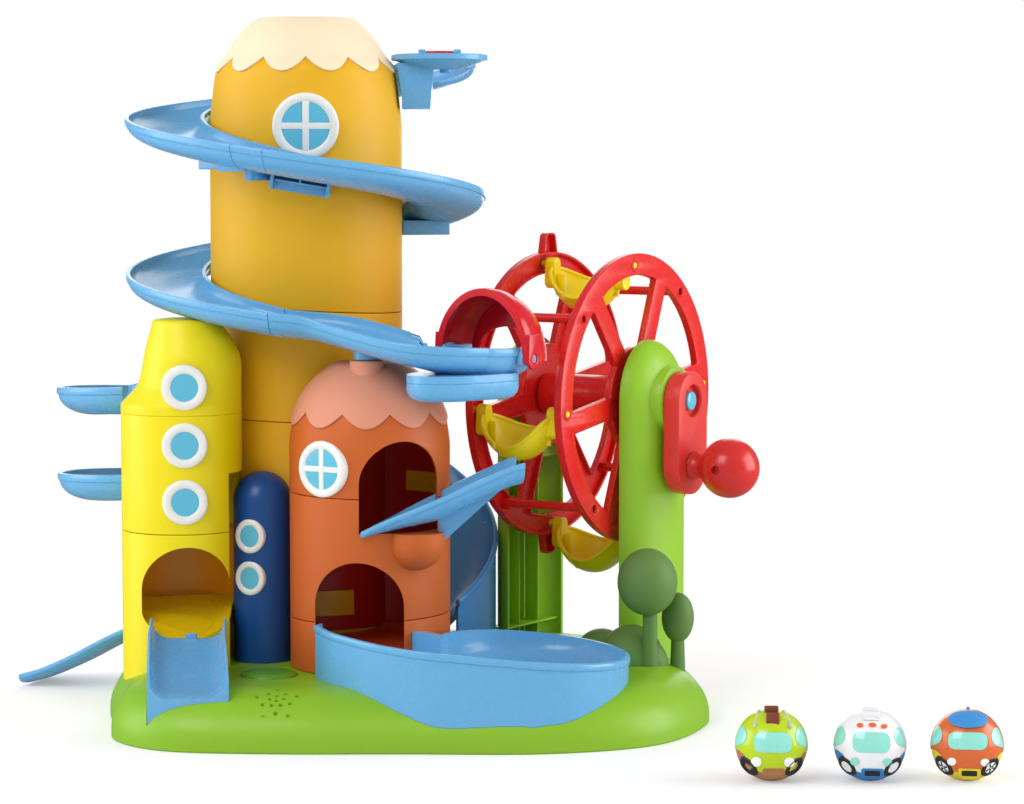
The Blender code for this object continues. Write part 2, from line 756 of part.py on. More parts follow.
def arch_outline(half, low, top, sill=None):
    """Arched doorway seen from the front: round head, upright sides, flat or round sill."""
    head = arc((0, top - half), half, 0, 180, 10)
    if sill is None:
        return head + [(-half, low), (half, low)]
    return head + arc((0, sill), (half, sill - low), 180, 360, 6)


def doorway(name, outline, tower_radius, axis, turn):
    """The cutter of a doorway through one side of a tower."""
    rotation = facing(turn)
    return plate(name, [outline], 0.012, tower_radius + 0.03, location=(*axis, 0), rotation=rotation)


def amber_tower():
    radius = AMBER_RADIUS
    lower, upper = AMBER_SEAMS
    where = (*AMBER_AXIS, 0)
    tube_section("amber_lower", radius, BASE_HEIGHT + GAP, lower - GAP / 2, "amber yellow", where)
    tube_section("amber_middle", radius, lower + GAP / 2, upper - GAP / 2, "amber yellow", where)
    top = domed_section("amber_upper", radius, upper + GAP / 2, AMBER_DOME, "amber yellow", where)
    scalloped_roof("amber_roof", AMBER_DOME, radius, AMBER_LOBES, AMBER_LOBE_LOW, AMBER_LOBE_CUSP,
                   "cream", where, 4)
    cut(top, window_parts("amber_window", AMBER_WINDOW_RADIUS, radius, 0.72, True, AMBER_AXIS,
                          AMBER_WINDOW_HEIGHT, AMBER_WINDOW_TURN))


def round_cutter(name, axis, radius, low, high, steps=TOWER_STEPS):
    return rod(name, radius, low, high, steps=steps, location=(*axis, 0))


def lemon_tower():
    """Lemon tower, notched on its right where the dark blue tower stands."""
    low, high = LEMON_SEAMS
    radius = LEMON_RADIUS
    where = (*LEMON_AXIS, 0)
    bottom = tube_section("lemon_lower", radius, 0.001, low - GAP / 2, "lemon yellow", where, LEMON_STEPS)
    middle = tube_section("lemon_middle", radius, low + GAP / 2, high - GAP / 2, "lemon yellow", where, LEMON_STEPS)

    def level(height, left, right, inset=0.0):
        centre, half = (right - left) / 2, (right + left) / 2 - inset
        return [(centre + half * math.cos(t), half * math.sin(t), height)
                for t in (2 * math.pi * i / LEMON_STEPS for i in range(LEMON_STEPS))]

    rows = [level(high + GAP / 2, radius, radius)] + [level(*row) for row in LEMON_TOP]
    top = loft("lemon_upper", rows, "lemon yellow", location=where)
    room_rows = [level(high - 0.01, radius, radius, WALL)]
    room_rows += [level(z - WALL, left, right, WALL) for z, left, right in LEMON_TOP[:3:2]]
    room = loft("lemon upper room", room_rows, location=where)
    neck_rows = [level(LEMON_TOP[-1][0] - 0.004, 0.022, 0.026), level(0.3840, 0.019, 0.022)]
    neck = loft("lemon neck", neck_rows, location=where)
    cut(top, room)
    fuse(top, neck)
    cut(top, spiral_form())

    notch = plate("blue tower notch", [
        arc(BLUE_AXIS, BLUE_RADIUS + GAP, 0, 180, 12)
        + [(BLUE_AXIS[0] - BLUE_RADIUS - GAP, BLUE_AXIS[1] - 0.05),
           (BLUE_AXIS[0] + BLUE_RADIUS + GAP, BLUE_AXIS[1] - 0.05)]
    ], 0.0, BLUE_TOP + 0.002)
    door = doorway("lemon doorway", arch_outline(LEMON_ARCH_HALF, LEMON_ARCH_LIP, LEMON_ARCH_TOP,
                                                 LEMON_ARCH_SILL), radius, LEMON_AXIS, LEMON_ARCH_TURN)
    cut(bottom, notch, door, base_form())
    cut(middle, notch)
    for number, height in enumerate(LEMON_PORTHOLES, 1):
        hole = window_parts(f"lemon_porthole_{number}", PORTHOLE_RADIUS, radius, 0.6, False, LEMON_AXIS,
                            height, LEMON_TURN)
        cut(top if number == 1 else middle, hole)
        if number == 1:
            cut(middle, hole)
    inner = radius - WALL - GAP
    facing_out = direction(LEMON_ARCH_TURN)
    rows = []
    for lift in (-WALL, 0):
        rows.append([])
        for x, y in circle((0, 0), inner, LEMON_STEPS):
            back = 0.5 - (x * facing_out.x + y * facing_out.y) / (2 * inner)
            rows[-1].append((x, y, LEMON_ARCH_LIP - 0.0004 + LEMON_FLOOR_RISE * back + lift))
    floor = loft("lemon_floor", rows, "sun yellow", location=where)
    cut(floor, notch_grown())


_cutters = {}


def base_form():
    """The base's outside, grown by the gap, to trim what stands on it."""
    if "base" not in _cutters:
        _cutters["base"] = loft("base form", base_rings(2 * GAP))
    return _cutters["base"]


def notch_grown():
    """The notch again, wider by the lemon wall's gap, for what lies inside the lemon tower."""
    x, y = BLUE_AXIS
    reach = BLUE_RADIUS + 2 * GAP
    return plate("wide blue notch", [arc((x, y), reach, 0, 180, 12) + [(x - reach, y - 0.05), (x + reach, y - 0.05)]],
                 0.0, BLUE_TOP + 0.004)


def amber_form():
    if "amber" not in _cutters:
        _cutters["amber"] = round_cutter("amber form", AMBER_AXIS, AMBER_RADIUS + GAP, 0, 0.7)
    return _cutters["amber"]


def orange_form():
    if "orange" not in _cutters:
        _cutters["orange"] = round_cutter("orange form", ORANGE_AXIS, ORANGE_RADIUS + GAP, 0, 0.29)
    return _cutters["orange"]


def blue_tower():
    radius = BLUE_RADIUS
    spring = BLUE_TOP - radius
    dome = [(0, BLUE_TOP)] + [(radius * math.sin(t), spring + radius * math.cos(t))
                              for t in (math.radians(a) for a in (24, 47, 69, 90))]
    inner = radius - WALL
    room = [(inner, BASE_HEIGHT + GAP)]
    room += [(inner * math.sin(t), spring + inner * math.cos(t))
             for t in (math.radians(a) for a in (90, 45))] + [(0, spring + inner)]
    tower = turned("blue_tower", dome + [(radius, BASE_HEIGHT + GAP)] + room, "deep blue", 20,
                   location=(*BLUE_AXIS, 0))
    for number, height in enumerate(BLUE_PORTHOLES, 1):
        cut(tower, window_parts(f"blue_porthole_{number}", BLUE_PORTHOLE_RADIUS, radius, 0.62, False,
                                BLUE_AXIS, height, BLUE_TURN))
    cut(tower, amber_form())


def orange_building():
    low, high = ORANGE_SEAMS
    radius = ORANGE_RADIUS
    where = (*ORANGE_AXIS, 0)
    bottom = tube_section("orange_lower", radius, BASE_HEIGHT + GAP, low - GAP / 2, "burnt orange", where)
    middle = tube_section("orange_middle", radius, low + GAP / 2, high - GAP / 2, "burnt orange", where)
    top = domed_section("orange_upper", radius, high + GAP / 2, ORANGE_DOME, "burnt orange", where)
    roof = scalloped_roof("orange_roof", ORANGE_DOME, radius, ORANGE_LOBES, ORANGE_LOBE_LOW,
                          ORANGE_LOBE_CUSP, "peach", where, 0)
    chimney = rod("chimney", CHIMNEY_RADIUS, 0.300, CHIMNEY_TOP, location=(*CHIMNEY_PLACE, 0))
    fuse(roof, chimney)
    dome_form = turned("chimney foot cut", [(0, ORANGE_DOME[0][1] + GAP)]
                       + [(r + GAP, z + GAP) for r, z in ORANGE_DOME]
                       + [(radius + GAP, 0.2), (0, 0.2)], steps=32, location=where)
    cut(chimney, dome_form)
    cut(roof, amber_form())
    upper_door = doorway("upper doorway", arch_outline(UPPER_ARCH_HALF, UPPER_ARCH_FLOOR, UPPER_ARCH_TOP),
                         radius, ORANGE_AXIS, UPPER_ARCH_TURN)
    lower_door = doorway("lower doorway", arch_outline(LOWER_ARCH_HALF, LOWER_ARCH_FLOOR, LOWER_ARCH_TOP),
                         radius, ORANGE_AXIS, LOWER_ARCH_TURN)
    boss = ball("boss", BOSS_PLACE, (BOSS_RADIUS,) * 3)
    boss_room = round_cutter("boss room", ORANGE_AXIS, radius - WALL, 0.11, 0.20)
    cut(boss, boss_room)
    fuse(middle, boss)
    ramp_form = trough("ramp form", smooth(RAMP_PATH, 2), RAMP_HALF, RAMP_DEPTH, None, form_section)
    cut(middle, ramp_form)
    cut(bottom, lower_door, amber_form())
    cut(middle, lower_door, upper_door, amber_form())
    cut(top, upper_door, amber_form())
    window = window_parts("orange_window", ORANGE_WINDOW_RADIUS, radius, 0.68, True, ORANGE_AXIS,
                          ORANGE_WINDOW_HEIGHT, ORANGE_WINDOW_TURN)
    cut(top, window)
    cut(middle, window)
    inner = radius - WALL - GAP
    floor = rod("orange_floor", inner, LOWER_ARCH_FLOOR - WALL - 0.0004, LOWER_ARCH_FLOOR - 0.0004,
                "burnt orange", TOWER_STEPS, location=where)
    cut(floor, amber_form())
    inside = round_cutter("orange room", ORANGE_AXIS, inner, 0, 0.28)
    slope = []
    facing_out = direction(UPPER_ARCH_TURN)
    for lift in (-WALL, 0):
        slope.append([])
        for x, y in circle((0, 0), inner + 0.01, TOWER_STEPS):
            back = (x * facing_out.x + y * facing_out.y) / inner
            slope[-1].append((x, y, UPPER_ARCH_FLOOR - 0.018 + 0.016 * back + lift))
    track = loft("inner_track", slope, "sun yellow", location=where)
    drop = rod("drop hole", 0.034, 0.1, 0.25, location=(ORANGE_AXIS[0] - 0.020, ORANGE_AXIS[1] + 0.012, 0))
    keep_inside(track, inside)
    cut(track, drop, amber_form(), ramp_form)


def spiral_height(turn):
    """Rim height of the spiral at a turn in degrees."""
    if turn <= SPIRAL_TURN[0]:
        return between((SPIRAL_START, SPIRAL_TURN), turn)
    return SPIRAL_TURN[1] - SPIRAL_PITCH * (turn - SPIRAL_TURN[0]) / 360


def spiral_path(start, end, step=SPIRAL_STEP):
    """Points along the spiral's rim line, and the direction of travel at each."""
    count = max(1, round((end - start) / step))
    path, aims = [], []
    for i in range(count + 1):
        turn = start + (end - start) * i / count
        x = AMBER_AXIS[0] + SPIRAL_RADIUS * math.cos(math.radians(turn))
        y = AMBER_AXIS[1] + SPIRAL_RADIUS * math.sin(math.radians(turn))
        path.append(Vector((x, y, spiral_height(turn))))
        aims.append(Vector((-math.sin(math.radians(turn)), math.cos(math.radians(turn)), 0)))
    return path, aims


def spiral_part(name, start, end, paint=None, section=trough_section):
    path, aims = spiral_path(start, end)
    return trough(name, path, SLIDE_HALF, SLIDE_DEPTH, paint, section, aims=aims)


def tower_bracket(name, turn, wide, tall):
    """A bracket under the slide that reaches in to the tower wall."""
    drop = spiral_height(turn) - SLIDE_DEPTH + 0.004
    return box(name, (AMBER_RADIUS + 2 * GAP, -wide / 2, drop - tall), (SPIRAL_RADIUS + 0.006, wide / 2, drop),
               location=(*AMBER_AXIS, 0), rotation=(0, 0, math.radians(turn)))



def spiral_form():
    """The lower spiral's outside, grown by the gap, to trim what holds it up."""
    if "spiral" not in _cutters:
        _cutters["spiral"] = spiral_part("spiral form", SPIRAL_JOINT + JOINT_GAP, SPIRAL_END - JOINT_GAP,
                                         section=form_section)
    return _cutters["spiral"]


def spiral():
    upper = spiral_part("spiral_upper", SPIRAL_START[0] + JOINT_GAP, SPIRAL_JOINT - JOINT_GAP, "sky blue")
    lower = spiral_part("spiral_lower", SPIRAL_JOINT + JOINT_GAP, SPIRAL_END - JOINT_GAP, "sky blue")
    fuse(upper, tower_bracket("upper bracket", 270, 0.030, 0.014),
         tower_bracket("back bracket", 90, 0.030, 0.014))
    fuse(lower, tower_bracket("lower bracket", 540, 0.030, 0.014),
         tower_bracket("side bracket", 470, 0.030, 0.014))


def axle_frame(name, location):
    """An empty whose X runs level along the wheel's face, Y up and Z along the axle."""
    turn = math.radians(AXLE_TURN)
    along = Vector((math.cos(turn), -math.sin(turn), 0))
    up = Vector((0, 0, 1))
    across = up.cross(along)
    holder = bpy.data.objects.new(name, None)
    PARTS.objects.link(holder)
    holder.matrix_world = Matrix.Translation(location) @ Matrix((across, up, along)).transposed().to_4x4()
    return holder


def end_tray():
    """Level end of the spiral, which widens between the hood's ears and stops at the wheel."""
    turn = math.radians(SPIRAL_END)
    start = Vector((AMBER_AXIS[0] + SPIRAL_RADIUS * math.cos(turn), AMBER_AXIS[1] + SPIRAL_RADIUS * math.sin(turn),
                    spiral_height(SPIRAL_END)))
    across = Vector((math.sin(math.radians(AXLE_TURN)), math.cos(math.radians(AXLE_TURN)), 0))
    centre = Vector(HOOD_CENTRE)
    middle = Vector((centre.x, centre.y, TRAY_RIM))
    tangent = Vector((-math.sin(turn), math.cos(turn), 0))
    controls = [start + tangent * GAP, start + tangent * 0.050 + Vector((0, 0, -0.006)),
                middle - across * 0.052 + Vector((-0.030, 0.004, 0.0060)),
                middle - across * 0.024 + Vector((-0.008, 0, 0.001)), middle, middle + across * 0.024]
    path = smooth(controls, 2)
    halves = [between(((0, SLIDE_HALF), (4, SLIDE_HALF), (7, 0.0405), (10, 0.035)), i) for i in range(len(path))]
    depths = [between(((0, SLIDE_DEPTH), (4, SLIDE_DEPTH), (7, TRAY_DEPTH), (10, TRAY_DEPTH - 0.004)), i)
              for i in range(len(path))]
    aims = [tangent] + headings(path)[1:-1] + [across]
    tray = trough("end_tray", path, halves, depths, "sky blue", aims=aims)
    outline = smooth([(x, y, 0) for x, y in PAN_OUTLINE], 2, closed=True)
    heart = sum(outline, Vector()) / len(outline)
    rows = [[Vector((*(heart + (p - heart) * share).to_2d(), z)) for p in outline] for z, share in PAN_LEVELS]
    pan = loft("tray pan", rows)
    core = trough("tray core", path, [half - SLIDE_WALL / 2 - RIM_BEAD for half in halves],
                  [deep - SLIDE_WALL * 0.6 for deep in depths], None, form_section, aims=aims)
    cut(pan, core)
    fuse(tray, pan)
    # The far wall is lower where the hood's mouth comes down as it tips.
    cut(tray, box("hood relief", *HOOD_RELIEF, parent=axle_frame("hood relief frame", HOOD_CENTRE)))
    holder = axle_frame("hood axis", HOOD_CENTRE)
    for side in (-1, 1):
        inner, outer = side * 0.0380, side * EAR_OUT
        low, high = sorted((inner, outer))
        ear = box(f"ear {side}", (-0.011, TRAY_RIM - HOOD_CENTRE[2] - 0.016, low), (0.011, 0.008, high), parent=holder)
        pin_low, pin_high = sorted((side * 0.044, side * HOOD_HALF))
        pin = rod(f"ear pin {side}", HOOD_PIN, pin_low, pin_high, steps=16, parent=holder)
        fuse(tray, ear, pin)
    peg_low = CHIMNEY_TOP + GAP
    peg = rod("tray peg", PEG_RADIUS, peg_low, peg_low + 0.0095, location=(*CHIMNEY_PLACE, 0))
    fuse(tray, peg)


def hood():
    """Round hood that tips about the tray's pins, open toward the slide and low at its back."""
    holder = axle_frame("hood pivot", HOOD_CENTRE)
    outside = ball("hood", (0, 0, 0), (HOOD_REACH, HOOD_HEIGHT, HOOD_HALF), "cherry red", 16, 8, parent=holder)
    inner = HOOD_WALL
    inside = ball("hood room", (0, 0, 0), (HOOD_REACH - inner, HOOD_HEIGHT - inner, HOOD_HALF - inner),
                  None, 16, 8, parent=holder)
    keep_inside(inside, box("hood room end", (-0.1, -0.1, -0.1), (HOOD_BACK - inner, 0.1, 0.1), parent=holder))
    rear = box("hood rear cut", (HOOD_BACK, -0.1, -0.1), (0.1, 0.1, 0.1), parent=holder)
    front = box("hood front cut", (-0.1, -0.1, -0.1), (-0.010, 0.1, 0.1), parent=holder)
    below = box("hood lower cut", (-0.1, -0.1, -0.1), (0.1, -0.004, 0.1), parent=holder)
    back = plate("hood back cut", [[(-0.030, -0.1), (0.030, -0.1)] + arc((0, 0.006), (0.030, 0.020), 0, 180, 8)],
                 0.010, 0.1, parent=holder)
    back.rotation_euler = (0, math.pi / 2, 0)
    cut(outside, inside, front, rear, below, back)
    for side in (-1, 1):
        low, high = sorted((side * (HOOD_HALF - HOOD_WALL), side * HOOD_HALF))
        ear = rod(f"hood ear {side}", HOOD_EAR, low, high, steps=20, parent=holder)
        fuse(outside, ear)
    hole = rod("hood pin hole", HOOD_PIN + PIN_CLEARANCE, -0.06, 0.06, steps=16, parent=holder)
    cut(outside, hole)


def top_platform():
    """Round loading dish with the red flap that stops a car at the start of the slide."""
    x, y = PLATFORM_PLACE
    rim, depth, radius = PLATFORM_RIM, PLATFORM_DEPTH, PLATFORM_RADIUS
    dish = turned("top_platform", [
        (0, rim - depth + SLIDE_WALL), (radius * 0.55, rim - depth * 0.75 + SLIDE_WALL),
        (radius - SLIDE_WALL - 0.002, rim - 0.004), (radius - SLIDE_WALL, rim), (radius, rim), (radius, rim - 0.0055),
        (radius * 0.93, rim - 0.0075), (radius * 0.55, rim - depth), (0, rim - depth - 0.001),
    ], "sky blue", TOWER_STEPS, location=(x, y, 0))
    box_x, box_y, box_z = PLATFORM_BOX
    bracket = box("platform bracket", (AMBER_AXIS[0] + AMBER_DOME[0][0], y - box_y / 2, rim - box_z),
                  (box_x, y + box_y / 2, rim - depth + 0.003))
    fuse(dish, bracket)
    cut(dish, amber_dome_form())
    mouth_turn = SPIRAL_START[0] + JOINT_GAP
    turn = math.radians(mouth_turn - 0.3)
    clear_low = Vector((AMBER_AXIS[0] + SPIRAL_RADIUS * math.cos(turn),
                        AMBER_AXIS[1] + SPIRAL_RADIUS * math.sin(turn), 0))
    beyond = box("platform end cut", (-0.06, 0, rim - 0.05), (0.06, 0.08, rim + 0.03), location=clear_low,
                 rotation=(0, 0, turn))
    cut(dish, beyond)
    wide, deep, thick = FLAP_SIZE
    hinge_y = y + 0.002
    level = rim + 0.0012
    for side in (-1, 1):
        low, high = sorted((side * (wide / 2 + GAP), side * (wide / 2 + 0.007)))
        lug = box(f"flap lug {side}", (x + low, hinge_y - 0.004, rim - 0.012),
                  (x + high, hinge_y + 0.004, level + 0.004))
        fuse(dish, lug)
    pin_hole = rod("flap pin hole", FLAP_PIN + PIN_CLEARANCE, -wide / 2 - 0.005, wide / 2 + 0.005, steps=12,
                   location=(x, hinge_y, level), rotation=(0, math.pi / 2, 0))
    cut(dish, pin_hole)
    holder = bpy.data.objects.new("flap pivot", None)
    PARTS.objects.link(holder)
    holder.location = (x, hinge_y, level)
    flap = box("platform_flap", (-wide / 2, -deep / 2, -thick / 2), (wide / 2, 0, thick / 2), "cherry red",
               parent=holder)
    barrel = rod("flap barrel", 0.0026, -wide / 2, wide / 2, steps=14, parent=holder, rotation=(0, math.pi / 2, 0))
    pin = rod("flap pin", FLAP_PIN, -wide / 2 - 0.004, wide / 2 + 0.004, steps=12, parent=holder,
              rotation=(0, math.pi / 2, 0))
    fuse(flap, barrel, pin)


def amber_dome_form():
    if "dome" not in _cutters:
        clear = ROOF_SKIN + 3 * GAP
        hem = AMBER_LOBE_LOW - GAP
        at_hem = between([(z, r) for r, z in AMBER_DOME], hem)
        profile = [(0, AMBER_DOME[0][1] + clear)] + [(r + clear, z + clear) for r, z in AMBER_DOME if z > hem]
        profile += [(at_hem + clear, hem), (at_hem + 2 * GAP, hem)]
        profile += [(r + 2 * GAP, z) for r, z in AMBER_DOME if z < hem]
        profile += [(AMBER_RADIUS + 2 * GAP, 0.50), (0, 0.50)]
        _cutters["dome"] = turned("amber dome form", profile, steps=TOWER_STEPS, location=(*AMBER_AXIS, 0))
    return _cutters["dome"]


def spoke_window(first, second):
    """The opening between two spokes, as an outline from the rim in to the hub disc."""
    low_rim = WHEEL_RADIUS - RIM_WIDTH
    at_rim = math.degrees(math.asin(SPOKE_WIDTH / 2 / low_rim))
    at_hub = math.degrees(math.asin(SPOKE_WIDTH / 2 / HUB_RADIUS))
    return (arc((0, 0), low_rim, first + at_rim, second - at_rim, 5)
            + arc((0, 0), HUB_RADIUS, second - at_hub, first + at_hub, 2))


def ring_spots(start):
    """Four places round the rim, from this angle."""
    turns = [math.radians(start + 90 * i) for i in range(BUCKETS)]
    return [(PIVOT_RADIUS * math.cos(t), PIVOT_RADIUS * math.sin(t)) for t in turns]


def wheel_half(name, side, holder):
    """Rim, spokes and hub disc of one side of the wheel, with a flange turned inward."""
    low, high = sorted((side * RIM_OFFSET, side * (RIM_OFFSET + RIM_PLATE)))
    turns = [SPOKE_START + 360 / SPOKES * i for i in range(SPOKES + 1)]
    outlines = [circle((0, 0), WHEEL_RADIUS, WHEEL_STEPS)]
    outlines += [spoke_window(a, b) for a, b in zip(turns, turns[1:])]
    outlines.append(circle((0, 0), COLLAR_RADIUS + GAP, 12))
    outlines += [circle(spot, PIVOT_HOLE, PIN_SIDES) for spot in ring_spots(PIVOT_START)]
    if side > 0:
        outlines += [circle(spot, BOLT_HOLE, 6) for spot in ring_spots(TUBE_START)]
    half = plate(name, outlines, low, high, "cherry red", parent=holder)
    edge = WHEEL_RADIUS - 0.0002
    tip, root = side * (RIM_OFFSET + RIM_PLATE - RIM_FLANGE), side * (RIM_OFFSET + RIM_PLATE / 2)
    profile = [(edge, root), (edge, tip), (edge - RIM_PLATE, tip), (edge - RIM_PLATE, root)]
    flange = turned(name + " flange", profile if side > 0 else profile[::-1], steps=WHEEL_STEPS, parent=holder)
    return fuse(half, flange)


def wheel():
    holder = axle_frame("wheel axis", WHEEL_CENTRE)
    wheel_half("wheel_front", 1, holder)
    back = wheel_half("wheel_back", -1, holder)
    for i, (x, y) in enumerate(ring_spots(TUBE_START)):
        bore_end, tip, root = RIM_OFFSET - BOLT_DEPTH, RIM_OFFSET - GAP, -RIM_OFFSET - RIM_PLATE / 2
        profile = [(0, bore_end), (BOLT_HOLE, bore_end), (BOLT_HOLE, tip), (TUBE_RADIUS, tip), (TUBE_RADIUS, root),
                   (0, root)]
        fuse(back, turned(f"cross tube {i}", profile, steps=8, parent=holder, location=(x, y, 0)))
    for turn in (90, 270):
        sign = 1 if turn == 90 else -1
        outline = [(-TAB_HALF, sign * (WHEEL_RADIUS - 0.004)), (TAB_HALF, sign * (WHEEL_RADIUS - 0.004)),
                   (TAB_HALF * 0.62, sign * (WHEEL_RADIUS + TAB_HEIGHT)), (-TAB_HALF * 0.62, sign * (WHEEL_RADIUS + TAB_HEIGHT))]
        tab = plate(f"wheel tab {turn}", [outline], -RIM_OFFSET - RIM_PLATE, -RIM_OFFSET - RIM_PLATE + TAB_THICKNESS,
                    parent=holder)
        fuse(back, tab)
    inner = RIM_OFFSET - 0.001 - GAP
    outer = POST_INNER - GAP
    front_reach = POST_INNER + POST_BOSS_OUT + CRANK_THICKNESS * 0.7
    turned("wheel_drum", [
        (0, front_reach), (SHAFT_RADIUS, front_reach), (SHAFT_RADIUS, outer), (COLLAR_RADIUS, outer), (COLLAR_RADIUS, inner),
        (DRUM_RADIUS, inner), (DRUM_RADIUS, -inner), (COLLAR_RADIUS, -inner), (COLLAR_RADIUS, -outer),
        (SHAFT_RADIUS, -outer), (SHAFT_RADIUS, -outer - 0.014), (0, -outer - 0.014),
    ], "cherry red", 12, parent=holder)


def bucket_rows(inset, open_top):
    """Cross-sections of a bucket from ear to ear: a bowl whose rim dips in its middle, lower
    on the side where a car rolls in."""
    half, across, depth = BUCKET_HALF - inset, BUCKET_ACROSS - inset, BUCKET_DEPTH - inset
    rows = []
    for k in range(BUCKET_STEPS + 1):
        turn = math.radians(-78 + 156 * k / BUCKET_STEPS)
        along, share = half * math.sin(turn), math.cos(turn)
        dips = [0.0 if open_top else math.asin(min(0.9, dip * share / depth))
                for dip in (BUCKET_DIP, BUCKET_ENTRY_DIP)]
        bow = [dips[0] + (math.pi - sum(dips)) * i / BUCKET_STEPS for i in range(BUCKET_STEPS + 1)]
        row = [(across * share * math.cos(t), -BUCKET_DROP - depth * share * math.sin(t), along) for t in bow]
        if open_top:
            row = [(across * share, 0.02, along)] + row + [(-across * share, 0.02, along)]
        rows.append(row)
    return rows


def buckets():
    """Four buckets that hang level between the rims, each on two ears with pins."""
    wheel_axis = axle_frame("bucket ring", WHEEL_CENTRE)
    ear_out = RIM_OFFSET + RIM_PLATE - RIM_FLANGE - EAR_CLEARANCE
    for i, (x, y) in enumerate(ring_spots(PIVOT_START), 1):
        name = f"bucket_{i}"
        holder = axle_frame(f"bucket pivot {i}", wheel_axis.matrix_world @ Vector((x, y, 0)))
        scoop = loft(name, bucket_rows(0, False), "sun yellow", parent=holder)
        cut(scoop, loft(name + " room", bucket_rows(WALL, True), parent=holder))
        outline = arc((0, 0), BUCKET_EAR, 0, 180, 4) + arc((0, -0.0160), BUCKET_EAR, 180, 360, 4)
        for side in (-1, 1):
            low, high = sorted((side * (BUCKET_HALF - 0.0062), side * ear_out))
            ear = plate(f"{name} ear {side}", [outline], low, high, parent=holder)
            pin_low, pin_high = sorted((side * (BUCKET_HALF - 0.004), side * (RIM_OFFSET + RIM_PLATE)))
            pin = rod(f"{name} pin {side}", PIVOT_PIN, pin_low, pin_high, steps=PIN_SIDES, parent=holder)
            fuse(scoop, ear, pin)


def post(name, side):
    """D-shaped post, flat toward the wheel and hollow from that side, with a rounded top."""
    holder = axle_frame(name + " frame", (WHEEL_CENTRE[0], WHEEL_CENTRE[1], 0))
    axle = WHEEL_CENTRE[2]

    def level(height, share, inset=0.0, open_side=False):
        half, bulge = (POST_HALF - inset) * share, (POST_BULGE - inset) * share
        bow = arc((0, 0), (half, bulge), 0, 180, 10)
        inner = POST_INNER - (0.02 if open_side else 0)
        rows = [(x, height, side * (POST_INNER + y)) for x, y in bow]
        return rows + [(-half, height, side * inner), (half, height, side * inner)] if open_side else rows

    rows = [level(0.001, 1), level(axle, 1)]
    rows += [level(axle + POST_DOME * math.sin(t), math.cos(t))
             for t in (math.radians(a) for a in (20, 40, 58, 72, 82))]
    body = loft(name, rows, "grass green", parent=holder)
    room = loft(name + " room", [level(-0.01, 1, POST_WALL, True), level(POST_CAVITY_TOP, 1, POST_WALL, True)],
                parent=holder)
    cut(body, room)
    low, high = sorted((side * (POST_INNER + 0.010), side * (POST_INNER + POST_BOSS_OUT - 0.0006)))
    if side > 0:
        fuse(body, rod(name + " boss", POST_BOSS, low, high, steps=28, parent=holder, location=(0, axle, 0)))
        bore_low, bore_high = POST_INNER - 0.001, POST_INNER + POST_BOSS_OUT + 0.01
    else:
        bore_low, bore_high = -POST_INNER - 0.0146, -POST_INNER + 0.001
    cut(body, rod(name + " bore", SHAFT_RADIUS + PIN_CLEARANCE, bore_low, bore_high, steps=24, parent=holder,
                  location=(0, axle, 0)), base_form())


def crank():
    """Arm, its screw and the ball knob that turns on the arm's pin."""
    holder = axle_frame("crank axis", WHEEL_CENTRE)
    start = POST_INNER + POST_BOSS_OUT
    end = start + CRANK_THICKNESS
    outline = arc((0, 0), CRANK_HALF, 0, 180, 8) + arc((0, -CRANK_ARM), CRANK_HALF, 180, 360, 8)
    arm = plate("crank_arm", [outline], start, end, "cherry red", parent=holder)
    shaft_end = POST_INNER + POST_BOSS_OUT + CRANK_THICKNESS * 0.7
    well, well_depth = SCREW_WELL
    bore = turned("crank bore", [(0, end + 0.001), (well, end + 0.001), (well, end - well_depth),
                                 (SCREW_RADIUS + GAP, end - well_depth), (SCREW_RADIUS + GAP, shaft_end),
                                 (SHAFT_RADIUS + GAP, shaft_end), (SHAFT_RADIUS + GAP, start - 0.001),
                                 (0, start - 0.001)], steps=20, parent=holder)
    pin_hole = rod("crank pin hole", KNOB_PIN + PIN_CLEARANCE, start + 0.003, end + 0.001, steps=20, parent=holder,
                   location=(0, -CRANK_ARM, 0))
    cut(arm, bore, pin_hole)
    rod("crank_screw", SCREW_RADIUS, shaft_end + 2 * GAP, end - 0.0012, "sky blue", 20, parent=holder)
    reach = end + KNOB_REACH - KNOB_RADIUS
    knob_axis = axle_frame("knob axis", holder.matrix_world @ Vector((0, -CRANK_ARM, 0)))
    centre = end + KNOB_REACH
    profile = [(0, centre + KNOB_RADIUS)]
    profile += [(KNOB_RADIUS * math.sin(t), centre + KNOB_RADIUS * math.cos(t))
                for t in (math.radians(a) for a in (28, 56, 84, 112, 138))]
    profile += [(NECK_RADIUS, reach), (NECK_RADIUS + 0.002, end + GAP + 0.003), (NECK_RADIUS + 0.002, end + GAP),
                (KNOB_PIN, end + GAP), (KNOB_PIN, start + 0.004), (0, start + 0.004)]
    knob = turned("crank_knob", profile, "cherry red", 16, parent=knob_axis)
    cut(knob, rod("knob dimple", DIMPLE_RADIUS, KNOB_RADIUS - DIMPLE_DEPTH, KNOB_RADIUS + 0.01, steps=8,
                  parent=knob_axis, location=(0, 0, centre), rotation=(0, -math.pi / 2, 0)))


def basin_rim(x):
    left, right = BASIN_OUTLINE[0][0], BOWL_PLACE[0] + BOWL_RADIUS
    return BASIN_LEFT + (BASIN_RIGHT - BASIN_LEFT) * (x - left) / (right - left)


